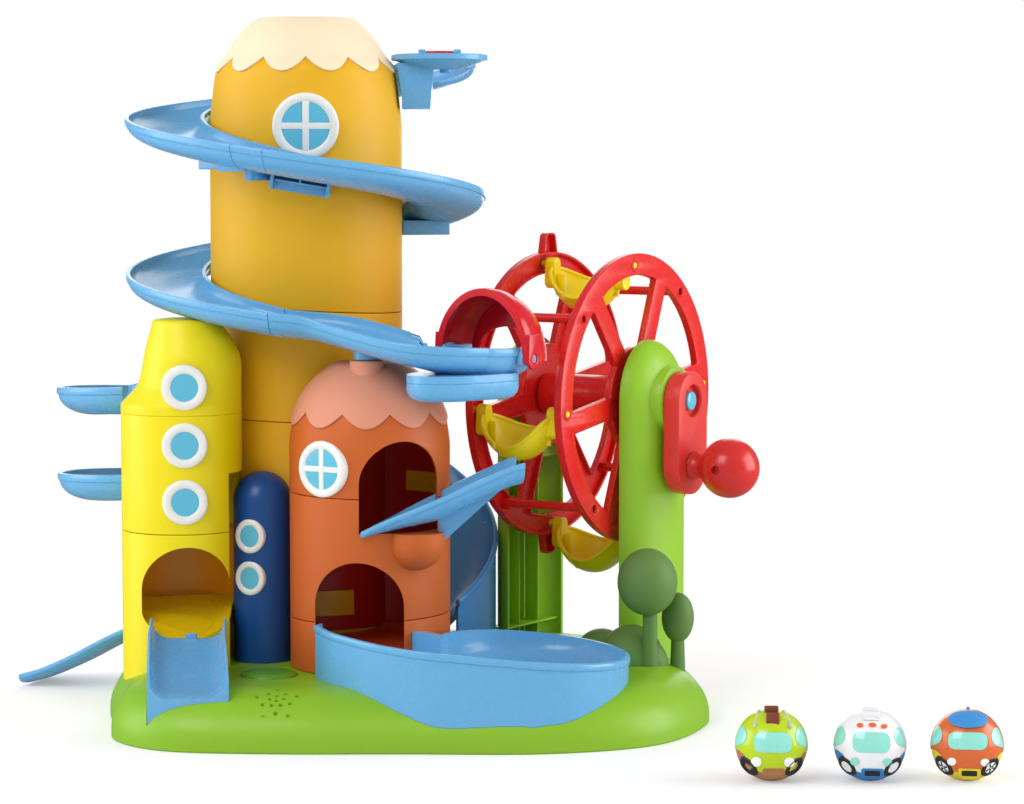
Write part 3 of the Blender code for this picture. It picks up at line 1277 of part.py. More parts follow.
def basin():
    """Catch basin: channel from the orange building and a round bowl, trimmed to the base."""
    outer = BOWL_RADIUS + BASIN_WALL
    front = [(p.x, p.y) for p in smooth([(x, y, 0) for x, y in BASIN_OUTLINE], 2)]
    bowl_edge = arc(BOWL_PLACE, outer, -84, 165, 22)
    back = list(BASIN_BACK)
    outline = front + bowl_edge[1:] + back

    def slab(name, points, low, raise_by, paint=None):
        rows = [[(x, y, low) for x, y in points], [(x, y, basin_rim(x) + raise_by) for x, y in points]]
        return loft(name, rows, paint)

    body = slab("basin", outline, 0.001, 0.0, "sky blue")
    inner_front = []
    for i, (x, y) in enumerate(front):
        ahead = Vector(front[min(i + 1, len(front) - 1)]) - Vector(front[max(i - 1, 0)])
        normal = Vector((-ahead.y, ahead.x)).normalized() * BASIN_WALL
        inner_front.append((x + normal.x, y + normal.y))
    inner_back = list(CHANNEL_BACK)
    channel_points = inner_front + [(BOWL_PLACE[0], BOWL_PLACE[1] - BOWL_RADIUS + 0.002)] + inner_back
    channel = plate("basin channel", [channel_points], LOWER_ARCH_FLOOR - 0.0004, 0.14)
    x, y = BOWL_PLACE
    bowl = turned("basin bowl", [(0, 0.14), (BOWL_RADIUS, 0.14), (BOWL_RADIUS, 0.070), (BOWL_RADIUS * 0.93, 0.0605),
                                 (BOWL_RADIUS * 0.75, BOWL_FLOOR + 0.0015), (0, BOWL_FLOOR)], steps=32, location=(x, y, 0))
    cut(body, channel, bowl, base_form(), orange_form())


def small_ramp():
    trough("small_ramp", smooth(RAMP_PATH, 2), RAMP_HALF, RAMP_DEPTH, "sky blue")


def chute_path(start, end, count):
    path = []
    for i in range(count + 1):
        turn = start + (end - start) * i / count
        x = AMBER_AXIS[0] + CHUTE_RADIUS * math.cos(math.radians(turn))
        y = AMBER_AXIS[1] + CHUTE_RADIUS * math.sin(math.radians(turn))
        path.append(Vector((x, y, between(CHUTE_HEIGHTS, turn))))
    return path


def back_chute():
    path = chute_path(80, -36, 9)
    chute = trough("back_chute", path, CHUTE_HALF, CHUTE_DEPTH, "steel blue")
    rows = []
    for i in range(4):
        turn = math.radians(10 - 46 * i / 3)
        top = between(CHUTE_HEIGHTS, math.degrees(turn)) - 0.006
        inner, outer = CHUTE_RADIUS + CHUTE_HALF - SLIDE_WALL, CHUTE_RADIUS + CHUTE_HALF
        rows.append([(AMBER_AXIS[0] + r * math.cos(turn), AMBER_AXIS[1] + r * math.sin(turn), z)
                     for r, z in ((outer, top), (outer, 0.02), (inner, 0.02), (inner, top))])
    skirt = loft("chute skirt", rows)
    fuse(chute, skirt)
    cut(chute, orange_form(), base_form())


def left_loops():
    """Two half turns behind the lemon tower, and the exit ramp below them."""
    for name, rim in (("upper_loop", LOOP_RIMS[0]), ("lower_loop", LOOP_RIMS[1])):
        path = []
        for x, y in arc(LOOP_CENTRE, LOOP_RADIUS, 345, 75, 10):
            path.append(Vector((x, y, rim)))
        path = [p + Vector((0, 0, 0.010 - 0.020 * i / 10)) for i, p in enumerate(path)]
        loop = trough(name, path, LOOP_HALF, LOOP_DEPTH, "sky blue")
        cut(loop, amber_form(), lemon_form())
    ramp = trough("exit_ramp", smooth(EXIT_PATH, 1), EXIT_HALF, EXIT_DEPTH, "sky blue")
    leg = box("exit leg", (-0.245, 0.085, 0.0), (-0.225, 0.110, 0.068))
    fuse(ramp, leg)
    cut(ramp, amber_form(), base_form())


def lemon_form():
    if "lemon" not in _cutters:
        _cutters["lemon"] = round_cutter("lemon form", LEMON_AXIS, LEMON_RADIUS + GAP, 0, 0.37, LEMON_STEPS)
    return _cutters["lemon"]


def front_chute():
    """Straight chute from the lemon doorway down to the base's front edge."""
    rows = []
    for (x, y, floor), half, top in zip(FRONT_CHUTE, FRONT_HALF, FRONT_WALL_TOP):
        wall = SLIDE_WALL
        section = [(half, top), (half, 0.002), (-half, 0.002), (-half, top), (-half + wall, top),
                   (-half + wall, floor + 0.006), (-half + wall + 0.006, floor), (half - wall - 0.006, floor),
                   (half - wall, floor + 0.006), (half - wall, top)]
        rows.append([(x + s, y, z) for s, z in section])
    chute = loft("front_chute", rows, "sky blue")
    cut(chute, lemon_form(), base_form(),
        round_cutter("button form", BUTTON_PLACE, BUTTON_RADIUS + 0.002, 0, 0.2, 28))


def trees_and_bush():
    centre, radius, share = BUSHES[0]
    grove = ball("trees_and_bush", centre, (radius, radius, radius * share), "leaf green", 12, 6)
    for number, (centre, radius, share) in enumerate(BUSHES[1:]):
        fuse(grove, ball(f"bush {number}", centre, (radius, radius, radius * share), None, 12, 6))
    for number, (centre, radius, share) in enumerate(TREE_BALLS):
        fuse(grove, ball(f"crown {number}", centre, (radius, radius, radius * share), None, 12, 6))
    for number, ((x, y), radius, top) in enumerate(TREE_TRUNKS):
        fuse(grove, rod(f"trunk {number}", radius, 0.02, top, steps=8, location=(x, y, 0)))
    foot = box("tree foot", (0.205, -0.062, 0.02), (0.250, -0.030, BASE_HEIGHT + 0.003))
    fuse(grove, foot)
    cut(grove, base_form())
    cut(grove, post_form())


def post_form():
    """The front post's outside, grown by the gap."""
    holder = axle_frame("post form frame", (WHEEL_CENTRE[0], WHEEL_CENTRE[1], 0))
    bow = arc((0, 0), (POST_HALF + GAP, POST_BULGE + GAP), 0, 180, 16)
    rows = [[(x, height, POST_INNER - GAP + y) for x, y in bow] for height in (0.0, 0.30)]
    return loft("post form", rows, parent=holder)


def cars():
    colours = (("lime", "brown"), ("white", "bright blue"), ("bright orange", "sun yellow"))
    for number, (x, pair) in enumerate(zip(CAR_PLACES, colours), 1):
        centre = (x, CAR_ROW, CAR_RADIUS - CAR_FOOT)
        upper = ball(f"car_{number}_upper", centre, (CAR_RADIUS,) * 3, pair[0], 16, 8)
        lower = ball(f"car_{number}_lower", centre, (CAR_RADIUS,) * 3, pair[1], 16, 8)
        cut(upper, box(f"car {number} upper cut", (x - 0.05, CAR_ROW - 0.05, -0.01),
                       (x + 0.05, CAR_ROW + 0.05, CAR_BELT + GAP / 2)))
        middle = CAR_RADIUS - CAR_FOOT
        if number == 3:
            wide, tall = CAP_RADIUS
            cap = ball("cap", (x, CAR_ROW - 0.004, middle + CAR_RADIUS - 0.0045), (wide, wide, tall), None, 16, 6)
            stalk = rod("cap stalk", CAP_STALK[0], middle + CAR_RADIUS - 0.003, CAP_STALK[1], steps=8,
                        location=(x, CAR_ROW - 0.004, 0))
            fuse(upper, cap, stalk)
        else:
            half, front, top = ROOF_BLOCK if number == 1 else LIGHT_BAR
            fuse(upper, box(f"car {number} roof piece", (x - half, CAR_ROW - front, middle + CAR_RADIUS * 0.55),
                            (x + half, CAR_ROW + 0.006, top)))
        cut(lower, box(f"car {number} lower cut", (x - 0.05, CAR_ROW - 0.05, CAR_BELT - GAP / 2),
                       (x + 0.05, CAR_ROW + 0.05, 0.1)),
            box(f"car {number} foot cut", (x - 0.05, CAR_ROW - 0.05, -0.02), (x + 0.05, CAR_ROW + 0.05, 0)))


base()
sound_button()
speaker()
amber_tower()
lemon_tower()
blue_tower()
orange_building()
spiral()
end_tray()
hood()
top_platform()
wheel()
buckets()
post("post_front", 1)
post("post_back", -1)
crank()
basin()
small_ramp()
back_chute()
left_loops()
front_chute()
trees_and_bush()
cars()
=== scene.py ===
"""The toy car playset dressed for its picture: every moulding again, with fine edges and real plastics."""
import math

import bmesh
import bpy
from mathutils import Matrix, Vector


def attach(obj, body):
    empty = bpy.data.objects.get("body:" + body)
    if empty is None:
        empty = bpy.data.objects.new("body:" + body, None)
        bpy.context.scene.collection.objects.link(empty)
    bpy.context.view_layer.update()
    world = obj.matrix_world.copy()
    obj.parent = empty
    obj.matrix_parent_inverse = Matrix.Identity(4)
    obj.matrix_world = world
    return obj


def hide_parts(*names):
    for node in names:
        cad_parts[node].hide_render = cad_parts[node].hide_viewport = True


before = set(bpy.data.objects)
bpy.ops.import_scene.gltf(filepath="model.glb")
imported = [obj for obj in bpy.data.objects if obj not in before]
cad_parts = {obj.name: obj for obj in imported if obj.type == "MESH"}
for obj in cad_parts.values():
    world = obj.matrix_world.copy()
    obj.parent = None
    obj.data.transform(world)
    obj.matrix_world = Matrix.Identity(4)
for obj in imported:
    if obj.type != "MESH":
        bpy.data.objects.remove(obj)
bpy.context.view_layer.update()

# The room. Four soft boxes: a key from the upper left, one on each side and one behind. The white
# floor takes the toy's shadow near it and fades to plain white further out.
scene = bpy.context.scene
scene.view_settings.view_transform = "Standard"


def colour_of(code):
    """sRGB hex to the linear colour that a shader takes."""
    shares = [int(code[i:i + 2], 16) / 255 for i in (1, 3, 5)]
    return [*(s / 12.92 if s <= 0.04045 else ((s + 0.055) / 1.055) ** 2.4 for s in shares), 1.0]


def add(tree, kind, settings=None, **inputs):
    """A node with its settings. An input is a value or another node's output socket."""
    made = tree.nodes.new(kind)
    for name, value in (settings or {}).items():
        setattr(made, name, value)
    for name, value in inputs.items():
        socket = made.inputs[int(name[1:]) if name[1:].isdigit() else name.replace("_", " ")]
        if isinstance(value, bpy.types.NodeSocket):
            tree.links.new(value, socket)
        else:
            socket.default_value = value
    return made


def maths(tree, operation, *values):
    """The result of a math node."""
    inputs = {f"i{k}": value for k, value in enumerate(values)}
    return add(tree, "ShaderNodeMath", {"operation": operation}, **inputs).outputs[0]


FLOOR_HALF = 6.0
bpy.ops.mesh.primitive_plane_add(size=2 * FLOOR_HALF)
floor = bpy.context.object
floor.name = "floor"
white_floor = bpy.data.materials.new("matt white studio floor")
white_floor.use_nodes = True
tree = white_floor.node_tree
tree.nodes.clear()
place = add(tree, "ShaderNodeTexCoord")
spread = add(tree, "ShaderNodeVectorMath", {"operation": "LENGTH"}, i0=place.outputs["Object"])
fade = add(tree, "ShaderNodeMapRange", {"interpolation_type": "SMOOTHSTEP"}, Value=spread.outputs["Value"],
           From_Min=0.45, From_Max=0.95, To_Min=0.30, To_Max=1.0)
lit = add(tree, "ShaderNodeBsdfDiffuse", Color=colour_of("#F7F7F7"))
plain = add(tree, "ShaderNodeEmission", Color=(1, 1, 1, 1), Strength=1.0)
rays = add(tree, "ShaderNodeLightPath")
share = maths(tree, "MULTIPLY", fade.outputs["Result"], rays.outputs["Is Camera Ray"])
both = add(tree, "ShaderNodeMixShader", i0=share, i1=lit.outputs[0], i2=plain.outputs[0])
dim = add(tree, "ShaderNodeEmission", Color=(1, 1, 1, 1), Strength=0.22)
mirrored = add(tree, "ShaderNodeMixShader", i0=rays.outputs["Is Glossy Ray"], i1=both.outputs[0],
               i2=dim.outputs[0])
add(tree, "ShaderNodeOutputMaterial", Surface=mirrored.outputs[0])
floor.data.materials.append(white_floor)

world = bpy.data.worlds.new("white studio")
scene.world = world
world.use_nodes = True
tree = world.node_tree
tree.nodes.clear()
rays = add(tree, "ShaderNodeLightPath")
seen = maths(tree, "MAXIMUM", rays.outputs["Is Camera Ray"], rays.outputs["Is Transmission Ray"])
direct = add(tree, "ShaderNodeMapRange", Value=seen, To_Min=0.66, To_Max=1.0)
strength = maths(tree, "MULTIPLY_ADD", rays.outputs["Is Glossy Ray"], -0.46, direct.outputs["Result"])
sky = add(tree, "ShaderNodeBackground", Color=(1, 1, 1, 1), Strength=strength)
add(tree, "ShaderNodeOutputWorld", Surface=sky.outputs[0])


def soft_box(name, place, aim, size, power):
    """A square studio lamp that points at a place."""
    lamp = bpy.data.lights.new(name, "AREA")
    lamp.size = size
    lamp.energy = power
    holder = bpy.data.objects.new(name, lamp)
    scene.collection.objects.link(holder)
    holder.location = place
    holder.rotation_euler = (Vector(aim) - Vector(place)).to_track_quat("-Z", "Y").to_euler()
    holder.visible_camera = False


for name, place, size, power in (
        ("key light", (-1.5, -2.1, 2.3), 1.6, 36),
        ("right light", (2.4, -0.2, 0.9), 1.8, 40),
        ("left light", (-2.4, -0.1, 0.9), 1.8, 26),
        ("back light", (0, 2.8, 1.2), 2.4, 34)):
    soft_box(name, place, (0, 0, 0.3), size, power)

camera = bpy.data.cameras.new("camera")
camera.lens = 106.765
camera.sensor_width = 36
viewer = bpy.data.objects.new("camera", camera)
viewer.location = (0.0974, -2.8208, 0.5171)
viewer.rotation_euler = (math.radians(90 - 4.643), 0, 0)
scene.collection.objects.link(viewer)
scene.camera = viewer

# Base. One pebble of green polypropylene with a flat top, which everything plugs into. It has a
# satin skin, sixteen sound holes and a round press button near the front.
GAP = 0.0003
BASE_TOP = 0.050
BASE_SIDE = 0.008
BASE_SLOPE = 0.055
BASE_SPINE = ((-0.17, -0.04), (0.16, -0.03))
BASE_OUTLINE = (
    (0.000, -0.225), (0.130, -0.224), (0.225, -0.185), (0.272, -0.100), (0.277, -0.030), (0.262, 0.050),
    (0.215, 0.130), (0.130, 0.188), (0.000, 0.205), (-0.130, 0.205), (-0.220, 0.170), (-0.270, 0.080),
    (-0.277, -0.015), (-0.264, -0.095), (-0.254, -0.165), (-0.205, -0.212), (-0.110, -0.225),
)
SPEAKER_PLACE = (-0.108, -0.2005)
BUTTON_PLACE = (-0.1215, -0.1095)
BUTTON_RADIUS = 0.0255


def smooth(points, per_span, closed=False):
    """A smooth run through points, with this many steps in each span."""
    points = [Vector(p) for p in points]
    count = len(points)
    out = []
    for i in range(count if closed else count - 1):
        if closed:
            a, b, c, d = (points[(i + k - 1) % count] for k in range(4))
        else:
            b, c = points[i], points[i + 1]
            a = points[i - 1] if i else b + (b - c)
            d = points[i + 2] if i + 2 < count else c + (c - b)
        for k in range(per_span):
            t = k / per_span
            out.append(0.5 * (2 * b + (c - a) * t + (2 * a - 5 * b + 4 * c - d) * t * t
                              + (3 * b - a - 3 * c + d) * t ** 3))
    return out if closed else out + [points[-1]]


def eased(points, radius, closed=True, steps=4):
    """An outline with its corners rounded to about this radius."""
    out = []
    count = len(points)
    for i, point in enumerate(points):
        here = Vector(point)
        if not closed and i in (0, count - 1):
            out.append(tuple(here))
            continue
        before, after = Vector(points[i - 1]), Vector(points[(i + 1) % count])
        to_before, to_after = before - here, after - here
        if to_before.length < 1e-9 or to_after.length < 1e-9 or to_before.angle(to_after) > math.radians(160):
            out.append(tuple(here))
            continue
        reach = min(radius, 0.45 * to_before.length, 0.45 * to_after.length)
        start, end = here + to_before.normalized() * reach, here + to_after.normalized() * reach
        for k in range(steps + 1):
            t = k / steps
            out.append(tuple(start * (1 - t) ** 2 + here * 2 * t * (1 - t) + end * t * t))
    return out


def shaped(name, bm, place=None):
    """The object of a bmesh, its doubles merged and its faces turned out."""
    bmesh.ops.remove_doubles(bm, verts=bm.verts, dist=1e-6)
    bmesh.ops.dissolve_degenerate(bm, edges=bm.edges, dist=1e-7)
    bmesh.ops.recalc_face_normals(bm, faces=bm.faces)
    mesh = bpy.data.meshes.new(name)
    bm.to_mesh(mesh)
    bm.free()
    if place:
        mesh.transform(place)
    made = bpy.data.objects.new(name, mesh)
    scene.collection.objects.link(made)
    return made


def loft(name, rows, ring=False, place=None):
    """A skin through rows of like points, capped at its ends or joined in a ring."""
    bm = bmesh.new()
    rows = [[bm.verts.new(p) for p in row] for row in rows]
    for row, after in zip(rows, rows[1:] + rows[:1] if ring else rows[1:]):
        for i in range(len(row)):
            j = (i + 1) % len(row)
            bm.faces.new((row[i], row[j], after[j], after[i]))
    if not ring:
        bm.faces.new(rows[0])
        bm.faces.new(rows[-1])
    return shaped(name, bm, place)


def turned(name, profile, place=None, steps=96):
    """A profile of radius and height turned about Z. One that leaves the axis open is a ring."""
    bm = bmesh.new()
    rows = []
    for i in range(steps):
        t = 2 * math.pi * i / steps
        rows.append([bm.verts.new((r * math.cos(t), r * math.sin(t), z)) for r, z in profile])
    ring = profile[0][0] > 1e-6
    count = len(profile) if ring else len(profile) - 1
    for i, row in enumerate(rows):
        after = rows[(i + 1) % steps]
        for k in range(count):
            m = (k + 1) % len(profile)
            bm.faces.new((row[k], row[m], after[m], after[k]))
    return shaped(name, bm, place)


def standing(spot):
    """The frame of a thing that stands on a spot of the ground plan."""
    return Matrix.Translation((*spot, 0))


def cylinder(name, radius, low, high, place=None, steps=96):
    """A plain round bar about Z."""
    return turned(name, [(0, high), (radius, high), (radius, low), (0, low)], place, steps)


def hoop(name, outer, wall, low, high, place):
    """A plain upright ring about Z."""
    return turned(name, [(outer, high), (outer, low), (outer - wall, low), (outer - wall, high)], place)


def arc(centre, radius, start, end, count):
    """Points on a circle or ellipse between two turns in degrees."""
    wide, tall = radius if isinstance(radius, tuple) else (radius, radius)
    turns = [math.radians(start + (end - start) * i / count) for i in range(count + 1)]
    return [(centre[0] + wide * math.cos(t), centre[1] + tall * math.sin(t)) for t in turns]


def poly_curve(name, lines, dimensions="2D", closed=True):
    """A curve object of straight spans."""
    curve = bpy.data.curves.new(name, "CURVE")
    curve.dimensions = dimensions
    for line in lines:
        spline = curve.splines.new("POLY")
        spline.points.add(len(line) - 1)
        for point, where in zip(spline.points, line):
            point.co = (*where, 0, 1) if dimensions == "2D" else (*where, 1)
        spline.use_cyclic_u = closed
    holder = bpy.data.objects.new(name, curve)
    scene.collection.objects.link(holder)
    return holder


def plain_mesh(holder):
    """The mesh that an object has after its curve settings or modifiers."""
    return bpy.data.meshes.new_from_object(holder.evaluated_get(bpy.context.evaluated_depsgraph_get()))


def reshaped(name, holder, rise, place):
    """A new object of another one's plain mesh, moved up. The other one goes."""
    made = plain_mesh(holder)
    bpy.data.objects.remove(holder)
    bm = bmesh.new()
    bm.from_mesh(made)
    bpy.data.meshes.remove(made)
    if rise:
        bmesh.ops.translate(bm, verts=bm.verts, vec=(0, 0, rise))
    return shaped(name, bm, place)


def circle(radius, count, centre=(0, 0)):
    """So many points round a full circle."""
    return arc(centre, radius, 0, 360 - 360 / count, count - 1)


def slab(name, outlines, low, high, place=None, edge=0.0):
    """Flat outlines, holes after the first, between two heights, with an edge rounding."""
    flat = poly_curve(name, outlines)
    curve = flat.data
    curve.fill_mode = "BOTH"
    curve.extrude = (high - low) / 2 - edge
    curve.bevel_depth = edge
    curve.bevel_resolution = 2 if edge else 0
    curve.offset = -edge
    return reshaped(name, flat, (low + high) / 2, place)


def block(name, low, high, place=None, edge=0.0008):
    """A box with rounded edges."""
    bm = bmesh.new()
    size = [h - l for l, h in zip(low, high)]
    middle = [(h + l) / 2 for l, h in zip(low, high)]
    bmesh.ops.create_cube(bm, size=1, matrix=Matrix.Translation(middle) @ Matrix.Diagonal((*size, 1)))
    if edge:
        bmesh.ops.bevel(bm, geom=bm.edges, offset=edge, segments=3, profile=0.5, affect="EDGES")
    return shaped(name, bm, place)


def ball(name, centre, radii, place=None, segments=64, rings=32):
    """An ellipsoid."""
    bm = bmesh.new()
    shape = Matrix.Translation(centre) @ Matrix.Diagonal((*radii, 1))
    bmesh.ops.create_uvsphere(bm, u_segments=segments, v_segments=rings, radius=1, matrix=shape)
    return shaped(name, bm, place)


def combine(piece, operation, tools):
    """A piece joined with, cut by or cut down to its tools, which go."""
    for tool in tools:
        step = piece.modifiers.new("step", "BOOLEAN")
        step.operation = operation
        step.solver = "EXACT"
        step.object = tool
    made = plain_mesh(piece)
    piece.modifiers.clear()
    old = piece.data
    piece.data = made
    bpy.data.meshes.remove(old)
    for tool in tools:
        bpy.data.objects.remove(tool)
    return piece


def carve(piece, *tools):
    """Cuts the tools out of a piece."""
    return combine(piece, "DIFFERENCE", tools)


def weld(piece, *tools):
    """Makes a piece and its tools one solid."""
    return combine(piece, "UNION", tools)


def sharpen(piece, angle=32):
    """Marks the edges that turn by more than this angle, in degrees, as sharp."""
    piece.data.set_sharp_from_angle(angle=math.radians(angle))


def dress(piece, plastic, body, slot, *nodes, angle=32):
    """Gives a piece its plastic and shading, and ties it to its body and to the solids it stands for."""
    piece.data.materials.clear()
    piece.data.materials.append(plastic)
    piece.data.shade_smooth()
    sharpen(piece, angle)
    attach(piece, body)
    if nodes:
        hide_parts(*nodes)
    return piece


def moulded(name, code, roughness, grain_mm, depth_mm, drift=0.05, coat=0.0, gloss=0.5):
    """Injection-moulded plastic: even colour with a slow drift, a spark-eroded grain and soft edges."""
    material = bpy.data.materials.new(name)
    material.use_nodes = True
    tree = material.node_tree
    shader = tree.nodes["Principled BSDF"]
    place = add(tree, "ShaderNodeTexCoord")
    slow = add(tree, "ShaderNodeTexNoise", Vector=place.outputs["Object"], Scale=14.0, Detail=2.0)
    red, green, blue, _ = colour_of(code)
    dark = add(tree, "ShaderNodeMix", {"data_type": "RGBA"}, i0=slow.outputs["Fac"],
               i6=(red * (1 - drift), green * (1 - drift), blue * (1 - drift), 1),
               i7=(min(1, red * (1 + drift)), min(1, green * (1 + drift)), min(1, blue * (1 + drift)), 1))
    tree.links.new(dark.outputs[2], shader.inputs["Base Color"])
    wipe = add(tree, "ShaderNodeTexNoise", Vector=place.outputs["Object"], Scale=60.0, Detail=3.0)
    rough = add(tree, "ShaderNodeMapRange", Value=wipe.outputs["Fac"], From_Min=0.3, From_Max=0.7,
                To_Min=roughness - 0.04, To_Max=roughness + 0.04)
    tree.links.new(rough.outputs["Result"], shader.inputs["Roughness"])
    grain = add(tree, "ShaderNodeTexNoise", Vector=place.outputs["Object"], Scale=1000 / grain_mm, Detail=2.0)
    round_off = add(tree, "ShaderNodeBevel", {"samples": 4}, Radius=0.0007)
    bump = add(tree, "ShaderNodeBump", Strength=0.35, Distance=depth_mm / 1000, Height=grain.outputs["Fac"],
               Normal=round_off.outputs["Normal"])
    tree.links.new(bump.outputs["Normal"], shader.inputs["Normal"])
    shader.inputs["Specular IOR Level"].default_value = gloss
    shader.inputs["Coat Weight"].default_value = coat
    shader.inputs["Coat Roughness"].default_value = 0.12
    return material


def base_rings(steps=14, per_span=10):
    """The base's outline at rising heights."""
    outline = smooth([(x, y, 0) for x, y in BASE_OUTLINE], per_span, closed=True)
    start, end = (Vector((x, y, 0)) for x, y in BASE_SPINE)
    run = end - start
    rings = []
    for level in range(-2, steps + 1):
        turn = max(0, level) / steps * math.pi / 2
        inset = BASE_SLOPE * (1 - math.cos(turn))
        height = BASE_SIDE + (BASE_TOP - BASE_SIDE) * math.sin(turn)
        if level < 0:
            inset, height = (0.0012, 0.0) if level == -2 else (0.0, 0.0012)
        ring = []
        for point in outline:
            along = max(0.0, min(1.0, (point - start).dot(run) / run.length_squared))
            moved = point + (start + run * along - point).normalized() * inset
            ring.append((moved.x, moved.y, height))
        rings.append(ring)
    return rings


def base_solid():
    """The base's outside, to cut off what reaches into it."""
    return loft("base solid", base_rings())


green_base = moulded("satin green moulded polypropylene", "#86B81E", 0.40, 0.7, 0.05)
base = loft("green_base", base_rings())
holes = bmesh.new()
for count, radius, start in ((1, 0, 0), (5, 0.0065, 18), (5, 0.0125, 54), (5, 0.0185, 18)):
    for i in range(count):
        turn = math.radians(start + 360 / count * i)
        spot = (SPEAKER_PLACE[0] + radius * math.cos(turn), SPEAKER_PLACE[1] + radius * math.sin(turn),
                BASE_TOP - 0.004)
        bmesh.ops.create_cone(holes, cap_ends=True, segments=20, radius1=0.0018, radius2=0.0018, depth=0.03,
                              matrix=Matrix.Translation(spot))
button_well = cylinder("well", BUTTON_RADIUS + 0.0006, 0.0345, 0.07, standing(BUTTON_PLACE))
carve(base, shaped("sound holes", holes), button_well)
dress(base, green_base, "frame", "grass_green", "base_shell")

button_green = moulded("semi-gloss dark green moulded button", "#5E9A1E", 0.34, 1.0, 0.03)
cap = [(0, 0.0538), (0.012, 0.0537), (0.019, 0.0533), (0.0232, 0.0524), (0.0249, 0.0508),
       (BUTTON_RADIUS, 0.0490), (BUTTON_RADIUS, 0.040), (0, 0.040)]
button = turned("round_button", cap, standing(BUTTON_PLACE))
dress(button, button_green, "button", "dark_green", "sound_button")

# Amber tower. Three stacked lengths of amber polypropylene tube, plugged one into the next with a
# hairline seam. A cream roof skin with twelve scallops snaps over the domed top.
WALL = 0.0025
AMBER_AXIS = (-0.098, 0.070)
AMBER_RADIUS = 0.0908
AMBER_SEAM_LOW, AMBER_SEAM_HIGH = 0.270, 0.374
AMBER_DOME = ((0.0439, 0.6441), (0.0560, 0.6345), (0.0650, 0.6250), (0.0745, 0.6098), (0.0832, 0.5990),
              (0.0863, 0.5862), (0.0886, 0.5682), (0.0908, 0.5450))


def wall_tube(name, radius, low, high, axis, low_tilt=0.0, high_tilt=0.0, flare=0.0):
    """A length of tower wall. Its ends may slope along X, and it may widen at its foot."""
    profile = [(radius, high), (radius, low + 0.02), (radius + flare, low), (radius - WALL, low),
               (radius - WALL, high)]
    tube = turned(name, eased(profile, 0.0009), steps=128)
    for corner in tube.data.vertices:
        share = min(1, max(0, (corner.co.z - low) / (high - low)))
        corner.co.z += corner.co.x * (low_tilt * (1 - share) + high_tilt * share)
    tube.data.transform(standing(axis))
    return tube


def radius_at(curve, height):
    """The radius of a dome's smooth curve at a height."""
    for upper, lower in zip(curve, curve[1:]):
        if lower.z <= height <= upper.z:
            share = (height - lower.z) / max(1e-9, upper.z - lower.z)
            return lower.x + (upper.x - lower.x) * share
    return curve[-1].x


def roof_skin(name, axis, dome, lobes, low, cusp, turn, skin=0.0022):
    """A roof skin over a tower's dome, its lower edge hanging in round lobes."""
    curve = smooth([(r, 0, z) for r, z in dome] + [(dome[-1][0], 0, dome[-1][1] - 0.03)], 6)
    per_lobe = 24
    top = curve[0].z + skin
    sections = []
    for i in range(lobes * per_lobe):
        edge = low + (cusp - low) * (1 - math.sin(math.pi * (i % per_lobe) / per_lobe))
        angle = math.radians(turn) + 2 * math.pi * i / (lobes * per_lobe)
        levels = [curve[0].z - (curve[0].z - edge) * k / 22 for k in range(23)]
        outer = [(radius_at(curve, z) + skin, z + skin * max(0, 1 - k / 8)) for k, z in enumerate(levels)]
        outer = [(0.012, top), (curve[0].x - 0.004, top), (curve[0].x - 0.0005, top - 0.0002)] + outer[1:]
        hem = radius_at(curve, edge)
        outer += [(hem + skin * 0.92, edge - 0.0005), (hem + skin * 0.6, edge - 0.0009),
                  (hem + 0.0004, edge - 0.0009)]
        under = [(radius_at(curve, z) + 0.0004, z + 0.0003)
                 for z in levels[::4]][::-1] + [(0.012, curve[0].z + 0.0004)]
        sections.append([(r * math.cos(angle), r * math.sin(angle), z) for r, z in outer + under])
    roof = loft(name, sections, ring=True)
    weld(roof, cylinder(name + " middle", 0.0125, curve[0].z + 0.0004, top))
    roof.data.transform(standing(axis))
    return roof


def domed_top(name, axis, radius, dome, foot, straight, room, tilt):
    """The top length of a tower: a dome over a straight wall, its foot cut at a tilt along X."""
    crown = dome[0][1]
    curve = [(p.x, p.z) for p in smooth([(r, 0, z) for r, z in dome], 8)]
    wall = eased([(radius, straight), (radius, foot), (radius - WALL, foot), (radius - WALL, room[0][1])],
                 0.0009, closed=False)
    top = turned(name, [(0, crown)] + curve + wall + room[1:], steps=128)
    slope, start, run = tilt
    for corner in top.data.vertices:
        corner.co.z += corner.co.x * slope * max(0, min(1, (start - corner.co.z) / run))
    top.data.transform(standing(axis))
    return top


def facing(axis, height, turn):
    """The frame of a thing set on a tower: Z points out of the wall at this turn from the front."""
    return (Matrix.Translation((*axis, height)) @ Matrix.Rotation(math.radians(turn), 4, "Z")
            @ Matrix.Rotation(math.pi / 2, 4, "X"))


amber = moulded("matt amber moulded polypropylene", "#E3AC12", 0.50, 0.55, 0.06, drift=0.04, gloss=0.35)
cream = moulded("matt cream moulded polypropylene", "#F1DDBB", 0.55, 0.55, 0.06, drift=0.02, gloss=0.35)
pane_blue = moulded("gloss sky-blue window insert", "#5FB9D6", 0.22, 3.0, 0.02, drift=0.02, coat=0.2)
frame_white = moulded("gloss white moulded window ring", "#E9E8E2", 0.28, 1.5, 0.02, drift=0.01, coat=0.2)


